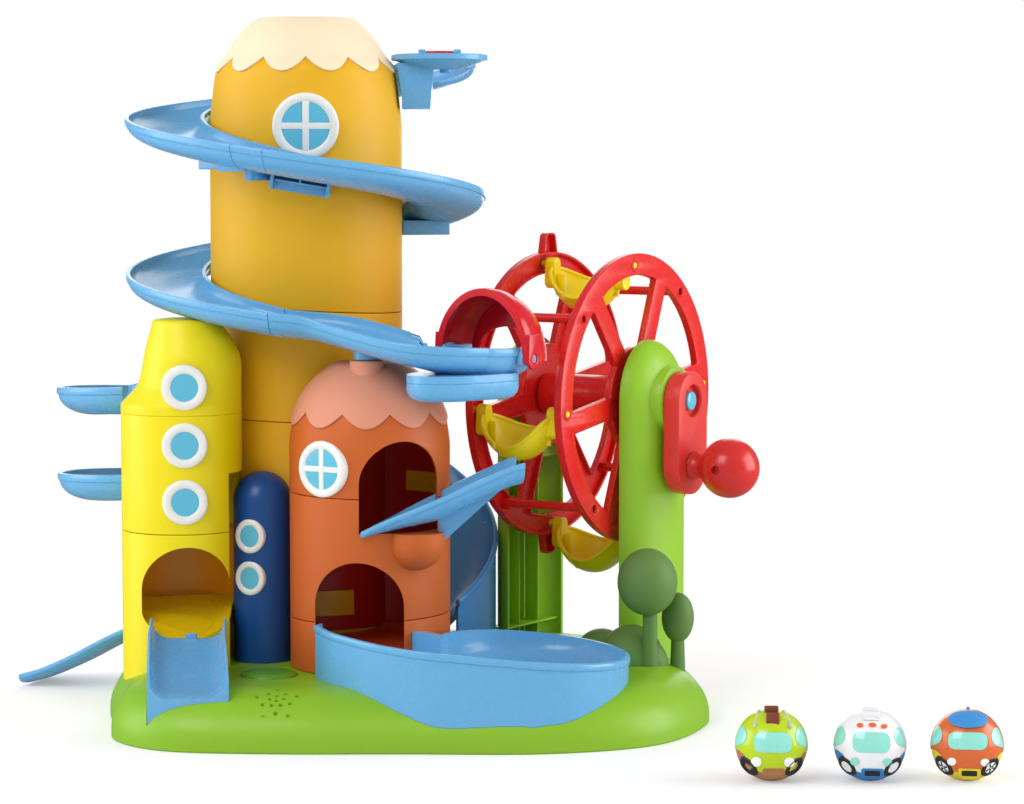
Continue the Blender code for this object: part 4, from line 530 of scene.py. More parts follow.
def round_window(name, radius, tower_radius, pane_share, axis, height, turn, slot, nodes, bars=0.0,
                 proud=0.0022, squeeze=1.0):
    """A window ring with a rolled edge, a sunk pane behind it and, on some, a moulded cross."""
    back = math.sqrt(tower_radius ** 2 - radius ** 2) - 0.004
    face = tower_radius + proud
    inner = radius * pane_share
    middle = (inner + radius) / 2
    where = facing(axis, height, turn) @ Matrix.Diagonal((squeeze, 1, 1, 1))
    crown = [(middle + (radius - middle) * math.cos(t), face - 0.0022 + 0.0022 * math.sin(t))
             for t in (math.pi * k / 14 for k in range(15))]
    ring = turned(name, crown[::-1] + [(radius, back), (inner, back)], where, steps=80)
    if bars:
        reach = inner + 0.001
        deep, high = tower_radius - 0.0012, face - 0.0006
        for number, (wide, tall) in enumerate(((bars, reach), (reach, bars))):
            bar = block(f"{name} bar", (-wide, -tall, deep), (wide, tall, high - 0.0002 * number), where,
                        0.0006)
            weld(ring, bar)
    dress(ring, frame_white, "frame", slot, *nodes)
    level = max(face - 0.0012, tower_radius + 0.0004)
    pane = turned(name + "_pane", [(0, level), (inner * 0.6, level), (inner + 0.0004, level - 0.0002),
                                   (inner + 0.0004, back), (0, back)], where, steps=80)
    dress(pane, pane_blue, "frame", slot)
    return ring


AMBER_TILT = -0.055
amber_low = wall_tube("amber_foot", AMBER_RADIUS, BASE_TOP + GAP, AMBER_SEAM_LOW - GAP, AMBER_AXIS, 0, -0.03)
dress(amber_low, amber, "frame", "amber_yellow", "amber_lower")
amber_mid = wall_tube("amber_waist", AMBER_RADIUS, AMBER_SEAM_LOW + GAP, AMBER_SEAM_HIGH - GAP, AMBER_AXIS,
                      -0.03, AMBER_TILT)
dress(amber_mid, amber, "frame", "amber_yellow", "amber_middle")
amber_top = domed_top("amber_top", AMBER_AXIS, AMBER_RADIUS, AMBER_DOME, AMBER_SEAM_HIGH + GAP, 0.50,
                      [(0, 0.54), (0.06, 0.6), (0, 0.6)], (AMBER_TILT, 0.45, 0.076))
dress(amber_top, amber, "frame", "amber_yellow", "amber_upper")
roof = roof_skin("cream_roof", AMBER_AXIS, AMBER_DOME, 12, 0.5955, 0.6085, 4)
dress(roof, cream, "frame", "cream", "amber_roof")
round_window("amber_ring", 0.0306, AMBER_RADIUS, 0.72, AMBER_AXIS, 0.544, 3.7, "white", ["amber_window"],
             0.0030)

# Lemon tower. Three lengths of lemon polypropylene. The top one narrows to one side to pass under the
# spiral, three portholes stand one above the other, and the foot has a doorway with a rounded sill.
LEMON_AXIS = (-0.2075, -0.030)
LEMON_RADIUS = 0.0555
LEMON_SEAM_LOW, LEMON_SEAM_HIGH = 0.1736, 0.2818
BLUE_AXIS = (-0.134, -0.023)
BLUE_RADIUS = 0.027
LEMON_TOP = ((0.2821, 0.0555, 0.0555), (0.2890, 0.0555, 0.0555), (0.2925, 0.0530, 0.0555),
             (0.3080, 0.0395, 0.0555), (0.3310, 0.0342, 0.0550), (0.3480, 0.0305, 0.0480),
             (0.3580, 0.0275, 0.0410), (0.3655, 0.0260, 0.0360))
lemon = moulded("satin lemon moulded polypropylene", "#E8D604", 0.40, 0.6, 0.05, drift=0.03, gloss=0.4)


def side_notch(low, high, grow=0.0006):
    """What the dark blue tower takes out of its neighbour."""
    x, y = BLUE_AXIS
    reach = BLUE_RADIUS + grow
    return slab("notch", [arc((x, y), reach, 0, 180, 48) + [(x - reach, y - 0.06), (x + reach, y - 0.06)]],
                low, high)


def doorway(half, low, top, tower_radius, axis, turn, sill=None):
    """The cutter of an arched doorway. A sill makes its foot a shallow bow."""
    outline = arc((0, top - half), half, 0, 180, 40)
    if sill is None:
        outline += [(-half, low), (half, low)]
    else:
        outline += arc((0, sill), (half, sill - low), 180, 360, 32)
    return slab("doorway", [outline], 0.010, tower_radius + 0.03, facing(axis, 0, turn))


lemon_foot = wall_tube("lemon_foot", LEMON_RADIUS, 0.012, LEMON_SEAM_LOW - GAP, LEMON_AXIS, flare=0.0016)
carve(lemon_foot, side_notch(0, 0.3), doorway(0.0406, 0.078, 0.162, LEMON_RADIUS, LEMON_AXIS, 11, 0.103))
dress(lemon_foot, lemon, "frame", "lemon_yellow", "lemon_lower")
lemon_mid = wall_tube("lemon_waist", LEMON_RADIUS, LEMON_SEAM_LOW + GAP, LEMON_SEAM_HIGH - GAP, LEMON_AXIS)
carve(lemon_mid, side_notch(0, 0.2275))
dress(lemon_mid, lemon, "frame", "lemon_yellow", "lemon_middle")
rows = []
for point in smooth([(left, right, z) for z, left, right in LEMON_TOP], 5):
    centre, half = (point.y - point.x) / 2, (point.y + point.x) / 2
    rows.append([(centre + half * math.cos(t), half * math.sin(t), point.z)
                 for t in (2 * math.pi * k / 112 for k in range(112))])
crown = rows[-1]
for inset, rise in ((0.0008, 0.0008), (0.0022, 0.0014), (0.006, 0.0019)):
    rows.append([((x - 0.005) * (1 - inset / 0.03) + 0.005, y * (1 - inset / 0.03), z + rise)
                 for x, y, z in crown])
foot_row = [(x * 0.985, y * 0.985, z - 0.0007) for x, y, z in rows[0]]
lemon_top = loft("lemon_top", [foot_row] + rows, place=standing(LEMON_AXIS))
neck = [[(0.002 + half * math.cos(t), half * 0.9 * math.sin(t), z)
         for t in (2 * math.pi * k / 64 for k in range(64))]
        for half, z in ((0.0245, 0.3560), (0.0235, 0.3630), (0.0225, 0.3652))]
weld(lemon_top, loft("neck", neck, place=standing(LEMON_AXIS)))
dress(lemon_top, lemon, "frame", "lemon_yellow", "lemon_upper")
for number, height in enumerate((0.3078, 0.2552, 0.2035), 1):
    round_window(f"lemon_ring_{number}", 0.0206, LEMON_RADIUS, 0.60, LEMON_AXIS, height, 9, "white",
                 [f"lemon_porthole_{number}"], proud=0.0026)
# An amber sheet just inside the lemon wall: painted shade of the tower's inside, seen through the doorway.
lemon_inside_shade = moulded("satin amber moulded room wall", "#F0A010", 0.40, 1.2, 0.03, drift=0.04)
reach = LEMON_RADIUS - WALL - 0.0002
lemon_shade_sheet = hoop("lemon_room", reach, 0.0008, 0.0780, 0.1720, standing(LEMON_AXIS))
carve(lemon_shade_sheet, side_notch(0, 0.3, 0.001),
      doorway(0.0412, 0.0775, 0.1626, LEMON_RADIUS, LEMON_AXIS, 11, 0.103))
dress(lemon_shade_sheet, lemon_inside_shade, "frame", "lemon_yellow")
inner_yellow = moulded("gloss warm-yellow moulded chute liner", "#EEC90F", 0.30, 1.2, 0.03, drift=0.03)
ahead = Vector((math.sin(math.radians(11)), -math.cos(math.radians(11)), 0))
liner = []
for lift in (-0.002, 0):
    row = []
    for x, y in circle(LEMON_RADIUS - WALL - GAP, 96):
        back = 0.5 - (x * ahead.x + y * ahead.y) / (2 * LEMON_RADIUS)
        bow = 0.018 * ((x * ahead.y - y * ahead.x) / LEMON_RADIUS) ** 2
        row.append((x, y, 0.0776 + 0.024 * back + bow + lift))
    liner.append(row)
liner = loft("lemon_liner", liner, place=standing(LEMON_AXIS))
carve(liner, side_notch(0, 0.2, 0.001))
dress(liner, inner_yellow, "frame", "sun_yellow", "lemon_floor")

# Dark blue tower. One slim tube with a round top, in satin dark blue, let into the lemon tower's
# side, with two small portholes.
deep_blue = moulded("satin dark-blue moulded polypropylene", "#0D4A8C", 0.34, 0.9, 0.04, drift=0.04)
BLUE_TOP = 0.226
spring = BLUE_TOP - BLUE_RADIUS
profile = [(0, BLUE_TOP)] + [(r, z) for r, z in arc((0, spring), BLUE_RADIUS, 88, 0, 28)]
profile += [(BLUE_RADIUS, BASE_TOP), (BLUE_RADIUS - WALL, BASE_TOP), (BLUE_RADIUS - WALL, spring),
            (0, spring + 0.01)]
blue = turned("blue_tube", profile, standing(BLUE_AXIS))
dress(blue, deep_blue, "frame", "deep_blue", "blue_tower")
for number, height in enumerate((0.168, 0.129), 1):
    round_window(f"blue_ring_{number}", 0.0160, BLUE_RADIUS, 0.60, BLUE_AXIS, height, -22, "white",
                 [f"blue_porthole_{number}"], proud=0.0012, squeeze=0.93)

# Orange building. Three lengths of matt orange polypropylene under a peach roof with ten scallops.
# Its chimney carries the end of the slide. Two doorways open on an inside painted dark red as painted
# shade, on its walls, the amber wall within and the floor of the yellow track; the track's side walls are
# yellow.
ORANGE_AXIS = (-0.033, -0.050)
ORANGE_RADIUS = 0.0735
ORANGE_SEAM_LOW, ORANGE_SEAM_HIGH = 0.0986, 0.210
ORANGE_DOME = ((0.0300, 0.3275), (0.0496, 0.3134), (0.0608, 0.2998), (0.0683, 0.2831), (0.0716, 0.2700),
               (0.0735, 0.2550))
UPPER_TURN, LOWER_TURN = 27, -6.5
UPPER_DOOR = (0.039, 0.1795, 0.2617, UPPER_TURN)
LOWER_DOOR = (0.0405, 0.0735, 0.1531, LOWER_TURN)
orange = moulded("matt burnt-orange moulded polypropylene", "#C65F22", 0.48, 0.55, 0.06, drift=0.04,
                 gloss=0.35)
# The dark red is painted shade inside the orange building, laid on orange, amber and yellow parts alike.
shade_red_inside = moulded("satin dark-red moulded liner", "#BC1E0E", 0.38, 1.0, 0.04, drift=0.06)
peach = moulded("matt peach moulded polypropylene", "#DA8F72", 0.52, 0.55, 0.06, drift=0.03, gloss=0.35)


def amber_room(low, high):
    """The amber tower's outside, which its neighbours are cut round."""
    return cylinder("amber room", AMBER_RADIUS + GAP, low, high, standing(AMBER_AXIS))


def orange_room(radius, low, high):
    """A round space on the orange building's axis."""
    return cylinder("room", radius, low, high, standing(ORANGE_AXIS))


def orange_door(half, low, top, turn):
    """The cutter of one of the orange building's doorways."""
    return doorway(half, low, top, ORANGE_RADIUS, ORANGE_AXIS, turn)


orange_low = wall_tube("orange_foot", ORANGE_RADIUS, BASE_TOP + GAP, ORANGE_SEAM_LOW - GAP, ORANGE_AXIS, 0,
                       0.03)
carve(orange_low, orange_door(*LOWER_DOOR), amber_room(0, 0.4))
dress(orange_low, orange, "frame", "burnt_orange", "orange_lower")
orange_mid = wall_tube("orange_waist", ORANGE_RADIUS, ORANGE_SEAM_LOW + GAP, ORANGE_SEAM_HIGH - GAP,
                       ORANGE_AXIS, 0.03, -0.02)
boss = ball("boss", (0.0117, -0.108, 0.170), (0.025, 0.025, 0.025))
boss_neck = cylinder("boss neck", 0.0250, 0.170, 0.196, standing((0.0117, -0.108)))
for piece in (boss, boss_neck):
    carve(piece, orange_room(ORANGE_RADIUS - WALL, 0.10, 0.22))
weld(orange_mid, weld(boss, boss_neck))
carve(orange_mid, orange_door(*LOWER_DOOR),
      orange_door(*UPPER_DOOR), amber_room(0, 0.4))
dress(orange_mid, orange, "frame", "burnt_orange", "orange_middle")
orange_top = domed_top("orange_top", ORANGE_AXIS, ORANGE_RADIUS, ORANGE_DOME, ORANGE_SEAM_HIGH + GAP, 0.24,
                       [(0, 0.25), (0.055, 0.29), (0, 0.29)], (-0.02, 0.24, 0.03))
carve(orange_top, orange_door(*UPPER_DOOR), amber_room(0, 0.4))
dress(orange_top, orange, "frame", "burnt_orange", "orange_upper")
roof = roof_skin("peach_roof", ORANGE_AXIS, ORANGE_DOME, 10, 0.2740, 0.2866, 0)
CHIMNEY = (-0.034, -0.080)
flare = [(0, 0.3325), (0.0149, 0.3325), (0.0155, 0.3318), (0.0157, 0.318), (0.0165, 0.312), (0.0185, 0.306),
         (0.0215, 0.300), (0.0215, 0.296), (0, 0.296)]
chimney = turned("chimney", flare, standing(CHIMNEY))
dome_curve = [(p.x, p.z) for p in smooth([(r, 0, z) for r, z in ORANGE_DOME], 8)]
under = turned("under", [(0, 0.3275)] + dome_curve + [(ORANGE_RADIUS, 0.24), (0, 0.24)],
               standing(ORANGE_AXIS))
carve(chimney, under)
weld(roof, chimney)
carve(roof, amber_room(0.2, 0.4))
dress(roof, peach, "frame", "peach", "orange_roof")
round_window("orange_ring", 0.0256, ORANGE_RADIUS, 0.70, ORANGE_AXIS, 0.2366, -33, "white", ["orange_window"],
             0.0026)
inner = ORANGE_RADIUS - WALL - 0.0008
# A sheet just inside the orange wall that carries the dark red painted shade.
shade_lining = hoop("orange_lining", inner, 0.0010, 0.076, 0.262, standing(ORANGE_AXIS))
carve(shade_lining, orange_door(0.0412, 0.0735, 0.1538, LOWER_TURN), orange_door(0.0397, 0.179, 0.2624, UPPER_TURN),
      amber_room(0, 0.4))
screen = hoop("orange_screen", AMBER_RADIUS + 0.0012, 0.0010, 0.076, 0.262, standing(AMBER_AXIS))
combine(screen, "INTERSECT", [orange_room(inner, 0.07, 0.27)])
dress(screen, shade_red_inside, "frame", "burnt_orange")
dress(shade_lining, shade_red_inside, "frame", "burnt_orange")
rim_red = moulded("gloss rust-brown moulded rim", "#CE4A1C", 0.24, 1.6, 0.02, drift=0.04, coat=0.15)
well = [(0, 0.0731), (0.046, 0.0731), (0.058, 0.0742), (0.064, 0.0775), (0.0655, 0.0792), (0.0668, 0.0795),
        (0.0680, 0.0790), (0.0696, 0.0775), (0.0696, 0.0712), (0, 0.0708)]
ground = turned("orange_ground", well, standing(ORANGE_AXIS))
carve(ground, amber_room(0, 0.2), orange_door(0.0409, 0.0640, 0.150, LOWER_TURN))
weld(ground, carve(orange_room(0.0625, 0.0712, 0.0731), amber_room(0, 0.2)))
dress(ground, rim_red, "frame", "burnt_orange", "orange_floor")
track_yellow = moulded("satin warm-yellow moulded track", "#E9B90C", 0.34, 1.2, 0.03, drift=0.03)
facing_out = Vector((math.sin(math.radians(UPPER_TURN)), -math.cos(math.radians(UPPER_TURN)), 0))
track = []
for lift in (-0.002, 0):
    row = []
    for x, y in circle(inner - 0.0014, 96):
        row.append((x, y, 0.150 + 0.016 * (x * facing_out.x + y * facing_out.y) / inner + lift))
    track.append(row)
track = loft("orange_track", track, place=standing(ORANGE_AXIS))
carve(track, amber_room(0, 0.4), cylinder("drop", 0.034, 0.10, 0.25, standing((-0.053, -0.038))))
# The track is yellow plastic; here it takes the dark red painted shade of the building's inside.
dress(track, shade_red_inside, "frame", "sun_yellow", "inner_track")
wall_bow = hoop("track_wall", inner - 0.0016, 0.0020, 0.2045, 0.2235, standing(ORANGE_AXIS))
carve(wall_bow, block("cut", (-0.20, -0.2, 0.1), (-0.002, 0.2, 0.3), edge=0),
      block("cut", (-0.2, -0.2, 0.1), (0.2, -0.052, 0.3), edge=0), amber_room(0, 0.4))
dress(wall_bow, track_yellow, "frame", "sun_yellow")
low_bow = hoop("low_track_wall", AMBER_RADIUS + 0.0040, 0.0020, 0.0900, 0.1135, standing(AMBER_AXIS))
carve(low_bow, block("cut", (-0.050, -0.2, 0.05), (0.2, 0.2, 0.3), edge=0))
combine(low_bow, "INTERSECT", [orange_room(inner, 0.07, 0.27)])
dress(low_bow, track_yellow, "frame", "sun_yellow")

# Spiral slide. Two lengths of sky-blue half-pipe go nearly twice round the amber tower, with a rolled
# rim and a pair of thin bands. They stand on brackets that reach in to the tower's wall.
SPIRAL_RADIUS = 0.133
SLIDE_HALF = 0.036
SLIDE_DEPTH = 0.0235
SLIDE_WALL = 0.0024
SPIRAL_JOINT = 437.0
SPIRAL_END = 622.0
JOINT_GAP = math.degrees(GAP / SPIRAL_RADIUS)
sky_blue = moulded("semi-gloss sky-blue moulded polypropylene", "#66AAD9", 0.27, 0.9, 0.03, drift=0.03,
                   coat=0.12)


def mirrored(points):
    """The other side of a section, run the other way."""
    return [(-s, t) for s, t in reversed(points)]


def trough_outline(half, depth, wall=SLIDE_WALL, lip=0.0018, lip_tall=0.0070, steps=24):
    """A half-pipe's section with its rolled rims, as (across, up) from the rim line."""
    bow = [math.pi * k / steps for k in range(steps + 1)]
    outside = [(half * math.cos(t), -lip_tall - (depth - lip_tall) * math.sin(t)) for t in bow]
    inside = [((half - wall) * math.cos(t), -0.0032 - (depth - 0.0032 - wall) * math.sin(t))
              for t in reversed(bow)]
    right = [(half - wall, -0.0008), (half - wall + 0.0006, -0.0001), (half - wall + 0.0012, 0),
             (half + lip - 0.0016, 0), (half + lip - 0.0005, -0.0005), (half + lip, -0.0018),
             (half + lip, 0.0014 - lip_tall), (half + lip - 0.0005, 0.0004 - lip_tall),
             (half + 0.0002, -lip_tall)]
    return right + outside[1:-1] + mirrored(right) + inside[1:-1]


def node_tree(name, inputs):
    """A geometry node tree with its inputs, and the sockets that carry them."""
    tree = bpy.data.node_groups.new(name, "GeometryNodeTree")
    for label, kind in (*inputs, ("Plastic", "Material")):
        tree.interface.new_socket(label, in_out="INPUT", socket_type="NodeSocket" + kind)
    tree.interface.new_socket("Shape", in_out="OUTPUT", socket_type="NodeSocketGeometry")
    return tree, add(tree, "NodeGroupInput").outputs


def sent_out(tree, size, geometry):
    """The end of a tree: its copies made real, in the plastic."""
    real = add(tree, "GeometryNodeRealizeInstances", Geometry=geometry)
    painted = add(tree, "GeometryNodeSetMaterial", Geometry=real.outputs["Geometry"],
                  Material=size["Plastic"])
    add(tree, "NodeGroupOutput", Shape=painted.outputs["Geometry"])


round_slide, size = node_tree("slide bent round a post", (
    ("Section", "Object"), ("Rows", "Int"), ("Radius", "Float"), ("First turn", "Float"),
    ("Swept turn", "Float"), ("First height", "Float"), ("Early slope", "Float"), ("Knee", "Float"),
    ("Knee height", "Float"), ("Late slope", "Float")))
here = add(round_slide, "GeometryNodeInputPosition")
drawn = add(round_slide, "GeometryNodeObjectInfo", Object=size["Section"])
section = add(round_slide, "GeometryNodeStoreNamedAttribute",
              {"data_type": "FLOAT_VECTOR", "domain": "POINT"}, Geometry=drawn.outputs["Geometry"],
              Name="section", Value=here.outputs["Position"])
line = add(round_slide, "GeometryNodeCurvePrimitiveLine", End=(0, 1, 0))
rows = add(round_slide, "GeometryNodeResampleCurve", Curve=line.outputs["Curve"], Count=size["Rows"])
share = add(round_slide, "GeometryNodeSplineParameter")
run = add(round_slide, "GeometryNodeStoreNamedAttribute", {"data_type": "FLOAT", "domain": "POINT"},
          Geometry=rows.outputs["Curve"], Name="along", Value=share.outputs["Factor"])
bar = add(round_slide, "GeometryNodeCurveToMesh", Curve=run.outputs["Geometry"],
          Profile_Curve=section.outputs["Geometry"], Fill_Caps=True)
stored = add(round_slide, "GeometryNodeInputNamedAttribute", {"data_type": "FLOAT"}, Name="along")
along = stored.outputs["Attribute"]
across = add(round_slide, "GeometryNodeInputNamedAttribute", {"data_type": "FLOAT_VECTOR"}, Name="section")
parts = add(round_slide, "ShaderNodeSeparateXYZ", Vector=across.outputs["Attribute"])
turn = maths(round_slide, "MULTIPLY_ADD", along, size["Swept turn"], size["First turn"])
radians = maths(round_slide, "RADIANS", turn)
gone = maths(round_slide, "MULTIPLY", along, maths(round_slide, "ABSOLUTE", size["Swept turn"]))
early = maths(round_slide, "MULTIPLY_ADD", gone, size["Early slope"], size["First height"])
past = maths(round_slide, "SUBTRACT", gone, size["Knee"])
late = maths(round_slide, "MULTIPLY_ADD", past, size["Late slope"], size["Knee height"])
height = maths(round_slide, "ADD", maths(round_slide, "MINIMUM", early, late), parts.outputs["Y"])
reach = maths(round_slide, "ADD", size["Radius"], parts.outputs["X"])
x = maths(round_slide, "MULTIPLY", reach, maths(round_slide, "COSINE", radians))
y = maths(round_slide, "MULTIPLY", reach, maths(round_slide, "SINE", radians))
spot = add(round_slide, "ShaderNodeCombineXYZ", X=x, Y=y, Z=height)
bent = add(round_slide, "GeometryNodeSetPosition", Geometry=bar.outputs["Mesh"],
           Position=spot.outputs["Vector"])
sent_out(round_slide, size, bent.outputs["Geometry"])


def grown(name, tree, place=None, **sizes):
    """The plain mesh that a node tree makes at these sizes. Its helper objects go."""
    holder = bpy.data.objects.new(name, bpy.data.meshes.new(name))
    scene.collection.objects.link(holder)
    step = holder.modifiers.new("nodes", "NODES")
    step.node_group = tree
    for socket in tree.interface.items_tree:
        value = sizes.get(socket.name.replace(" ", "_"))
        if socket.in_out == "INPUT" and value is not None:
            step[socket.identifier] = value
    made = reshaped(name, holder, 0, place)
    for value in sizes.values():
        if isinstance(value, bpy.types.Object):
            bpy.data.objects.remove(value)
    return made


def join(piece, *others):
    """One mesh of several closed mouldings that are one piece in the real thing."""
    bm = bmesh.new()
    for part in (piece, *others):
        bm.from_mesh(part.data)
    bm.to_mesh(piece.data)
    bm.free()
    for part in others:
        bpy.data.objects.remove(part)
    return piece


SPIRAL_START, SPIRAL_KNEE = 20, 180
START_HEIGHT, KNEE_HEIGHT = 0.6080, 0.5558
EARLY_FALL, LATE_FALL = 0.0522 / 160, 0.1462 / 360


def spiral_height(turn):
    """The height of the slide's rim line at a turn, in degrees from +X."""
    if turn < SPIRAL_KNEE:
        return START_HEIGHT - EARLY_FALL * (turn - SPIRAL_START)
    return KNEE_HEIGHT - LATE_FALL * (turn - SPIRAL_KNEE)


def round_amber(turn, radius=SPIRAL_RADIUS):
    """The spot at a turn and a distance round the amber tower."""
    angle = math.radians(turn)
    return AMBER_AXIS[0] + radius * math.cos(angle), AMBER_AXIS[1] + radius * math.sin(angle)


def spiral_length(name, first, last, outline):
    """A length of the spiral between two turns. One past the knee has a single slope."""
    early = first < SPIRAL_KNEE
    return grown(name, round_slide, standing(AMBER_AXIS), Section=poly_curve("section", [outline]),
                 Rows=int((last - first) / 3) + 2, Radius=SPIRAL_RADIUS, First_turn=first,
                 Swept_turn=last - first, First_height=spiral_height(first) if early else 9.0,
                 Early_slope=-EARLY_FALL, Knee=SPIRAL_KNEE - first if early else 0.0,
                 Knee_height=KNEE_HEIGHT if early else spiral_height(first), Late_slope=-LATE_FALL)


def on_tower(turn, height, tilt=0.0):
    """The frame of a bracket: X out from the amber tower, Y down the slide, Z up."""
    return (Matrix.Translation((*AMBER_AXIS, height)) @ Matrix.Rotation(math.radians(turn), 4, "Z")
            @ Matrix.Rotation(math.radians(-tilt), 4, "X"))


def room_outline(half, depth):
    """The open space of a half-pipe, down to the middle of its wall and with a lid well above its rim."""
    half, low = half - SLIDE_WALL / 2, depth - SLIDE_WALL / 2 - 0.0050
    bow = [math.pi * k / 24 for k in range(25)]
    return [(half * math.cos(t), -0.0050 - low * math.sin(t)) for t in bow] + [(-half, 0.03), (half, 0.03)]


def trimmed(turn, piece, reach=12):
    """Cuts a piece back to the slide's floor about a turn, so that the track stays clear."""
    rows = []
    for step in range(turn - reach, turn + reach + 1, 2):
        rows.append([(*round_amber(step, SPIRAL_RADIUS + s), spiral_height(step) + t)
                     for s, t in room_outline(SLIDE_HALF, SLIDE_DEPTH)])
    return carve(piece, loft("spiral room", rows))


def bracket_block(turn, low, high, edge):
    """A block of a bracket: X runs out from the tower's axis, and Z up from the slide's foot."""
    return trimmed(turn, block("bracket", low, high, on_tower(turn, spiral_height(turn) - SLIDE_DEPTH), edge))


def plain_bracket(turn):
    """A bracket from the tower's wall to the middle of the slide."""
    return bracket_block(turn, (WALL_FACE, -0.015, -0.010), (0.1390, 0.015, 0.004), 0.0012)


WALL_FACE = AMBER_RADIUS + 2 * GAP
outline = trough_outline(SLIDE_HALF, SLIDE_DEPTH)
sleeve = [(s * 1.018, t * 1.03 + 0.0004) for s, t in outline]
upper_slide = spiral_length("spiral_top", SPIRAL_START + JOINT_GAP, SPIRAL_JOINT - JOINT_GAP, outline)
clips = [spiral_length("sleeve", 249.5, 250.3, sleeve), spiral_length("sleeve", 259.6, 260.4, sleeve)]
under = spiral_height(270) - SLIDE_DEPTH
cell = on_tower(271.5, under, 9.5)
bracket = [
    block("flange", (WALL_FACE, -0.0275, -0.0135), (0.1200, -0.0245, 0.010), cell, 0.0006),
    block("flange", (WALL_FACE, 0.0245, -0.0135), (0.1200, 0.0275, 0.010), cell, 0.0006),
    block("back", (WALL_FACE, -0.025, -0.0135), (0.0945, 0.025, 0.010), cell, 0.0004),
    block("shelf", (WALL_FACE, -0.025, -0.0052), (0.1140, 0.025, -0.0036), cell, 0.0004),
    block("rib", (WALL_FACE, -0.0012, -0.0045), (0.1150, 0.0004, 0.010), cell, 0.0004),
]
bracket = [trimmed(271, piece) for piece in bracket]
bracket.append(bracket_block(247, (0.1040, -0.0140, -0.0026), (0.1500, 0.0140, 0.0094), 0.0010))
bracket.append(bracket_block(247, (0.0960, 0.0060, -0.0110), (0.1360, 0.0130, 0.004), 0.0008))
bracket.append(bracket_block(227, (WALL_FACE, -0.0140, -0.0090), (0.1230, 0.0140, 0.008), 0.0010))
bracket += [plain_bracket(90), plain_bracket(380)]
join(upper_slide, *clips, *bracket)
dress(upper_slide, sky_blue, "frame", "sky_blue", "spiral_upper")
lower_slide = spiral_length("spiral_tail", SPIRAL_JOINT + JOINT_GAP, SPIRAL_END - JOINT_GAP, outline)
join(lower_slide, plain_bracket(540), plain_bracket(470))
dress(lower_slide, sky_blue, "frame", "sky_blue", "spiral_lower")
trimmed(576, lemon_top, 22)
sharpen(lemon_top)

# End tray. The level tail of the slide, one sky-blue moulding with a deep pan under it. Two ears
# carry the hood's pins, and a peg drops into the orange chimney to hold the tray.
AXLE_TURN = 33.0
along = Vector((math.cos(math.radians(AXLE_TURN)), -math.sin(math.radians(AXLE_TURN)), 0))
across = Vector((0, 0, 1)).cross(along)
HOOD_PLACE = Vector((0.0750, -0.0750, 0.3350))
TRAY_RIM = 0.3450
TRAY_DEPTH = 0.034


def axle_frame(place):
    """A frame whose X runs level along the wheel's face, Y up and Z along the axle."""
    return Matrix.Translation(place) @ Matrix((across, Vector((0, 0, 1)), along)).transposed().to_4x4()


def side_slab(name, outlines, side, near, far, place, edge):
    """A slab on one side of a middle, 1 or -1, between two distances from it."""
    return slab(name, outlines, *sorted((side * near, side * far)), place, edge)


def rod(name, radius, low, high, easing, place, steps):
    """A round bar about Z with its ends eased by so much across and along."""
    across, along = easing
    return turned(name, [(0, high), (radius - across, high), (radius, high - along), (radius, low + along),
                         (radius - across, low), (0, low)], place, steps)


def between(pairs, at):
    """The value at a place on a broken line of (place, value) pairs."""
    for (x0, y0), (x1, y1) in zip(pairs, pairs[1:]):
        if at <= x1:
            return y0 + (y1 - y0) * max(0.0, at - x0) / (x1 - x0)
    return pairs[-1][1]


def swept(name, path, sections, aims=None):
    """Sections (across, up) along a path, each held upright."""
    rows = []
    for i, (point, section) in enumerate(zip(path, sections)):
        ahead = path[min(i + 1, len(path) - 1)] - path[max(i - 1, 0)]
        heading = aims[i] if aims and aims[i] else Vector((ahead.x, ahead.y, 0)).normalized()
        side = Vector((heading.y, -heading.x, 0))
        rows.append([point + side * s + Vector((0, 0, t)) for s, t in section])
    return loft(name, rows)


turn = math.radians(SPIRAL_END)
start = Vector((*round_amber(SPIRAL_END), spiral_height(SPIRAL_END)))
tangent = Vector((-math.sin(turn), math.cos(turn), 0))
middle = Vector((HOOD_PLACE.x, HOOD_PLACE.y, TRAY_RIM))
path = smooth([start + tangent * GAP, start + tangent * 0.050 + Vector((0, 0, -0.006)),
               middle - across * 0.052 + Vector((-0.030, 0.004, 0.0060)),
               middle - across * 0.024 + Vector((-0.008, 0, 0.001)), middle, middle + across * 0.024], 8)
sections, rooms = [], []
for i in range(len(path)):
    half = between(((0, SLIDE_HALF), (16, SLIDE_HALF), (28, 0.0405), (40, 0.035)), i)
    deep = between(((0, SLIDE_DEPTH), (16, SLIDE_DEPTH), (28, TRAY_DEPTH), (40, TRAY_DEPTH - 0.004)), i)
    sections.append(trough_outline(half, deep, lip_tall=0.0076))
    rooms.append(room_outline(half, deep))
tray = swept("end_pan", path, sections, [tangent] + [None] * (len(path) - 2) + [across])
frame_of_hood = axle_frame(HOOD_PLACE)
to_hood = frame_of_hood.inverted()
for corner in tray.data.vertices:
    here = to_hood @ corner.co
    if -0.0345 < here.x < -0.0105 and here.z < -0.0375 and here.y > 0.0055:
        corner.co.z -= here.y - 0.0055
extras = []
for side in (-1, 1):
    tab = eased([(-0.0110, -0.0060), (0.0110, -0.0060), (0.0110, 0.0020), (0.0060, 0.0120), (-0.0060, 0.0120),
                 (-0.0110, 0.0020)], 0.006)
    extras.append(side_slab("ear", [tab], side, 0.0390, 0.0446, frame_of_hood, 0.0006))
    low, high = sorted((side * 0.0440, side * 0.0502))
    extras.append(rod("pin", 0.0040, low, high, (0.0004, 0.0005), frame_of_hood, 40))
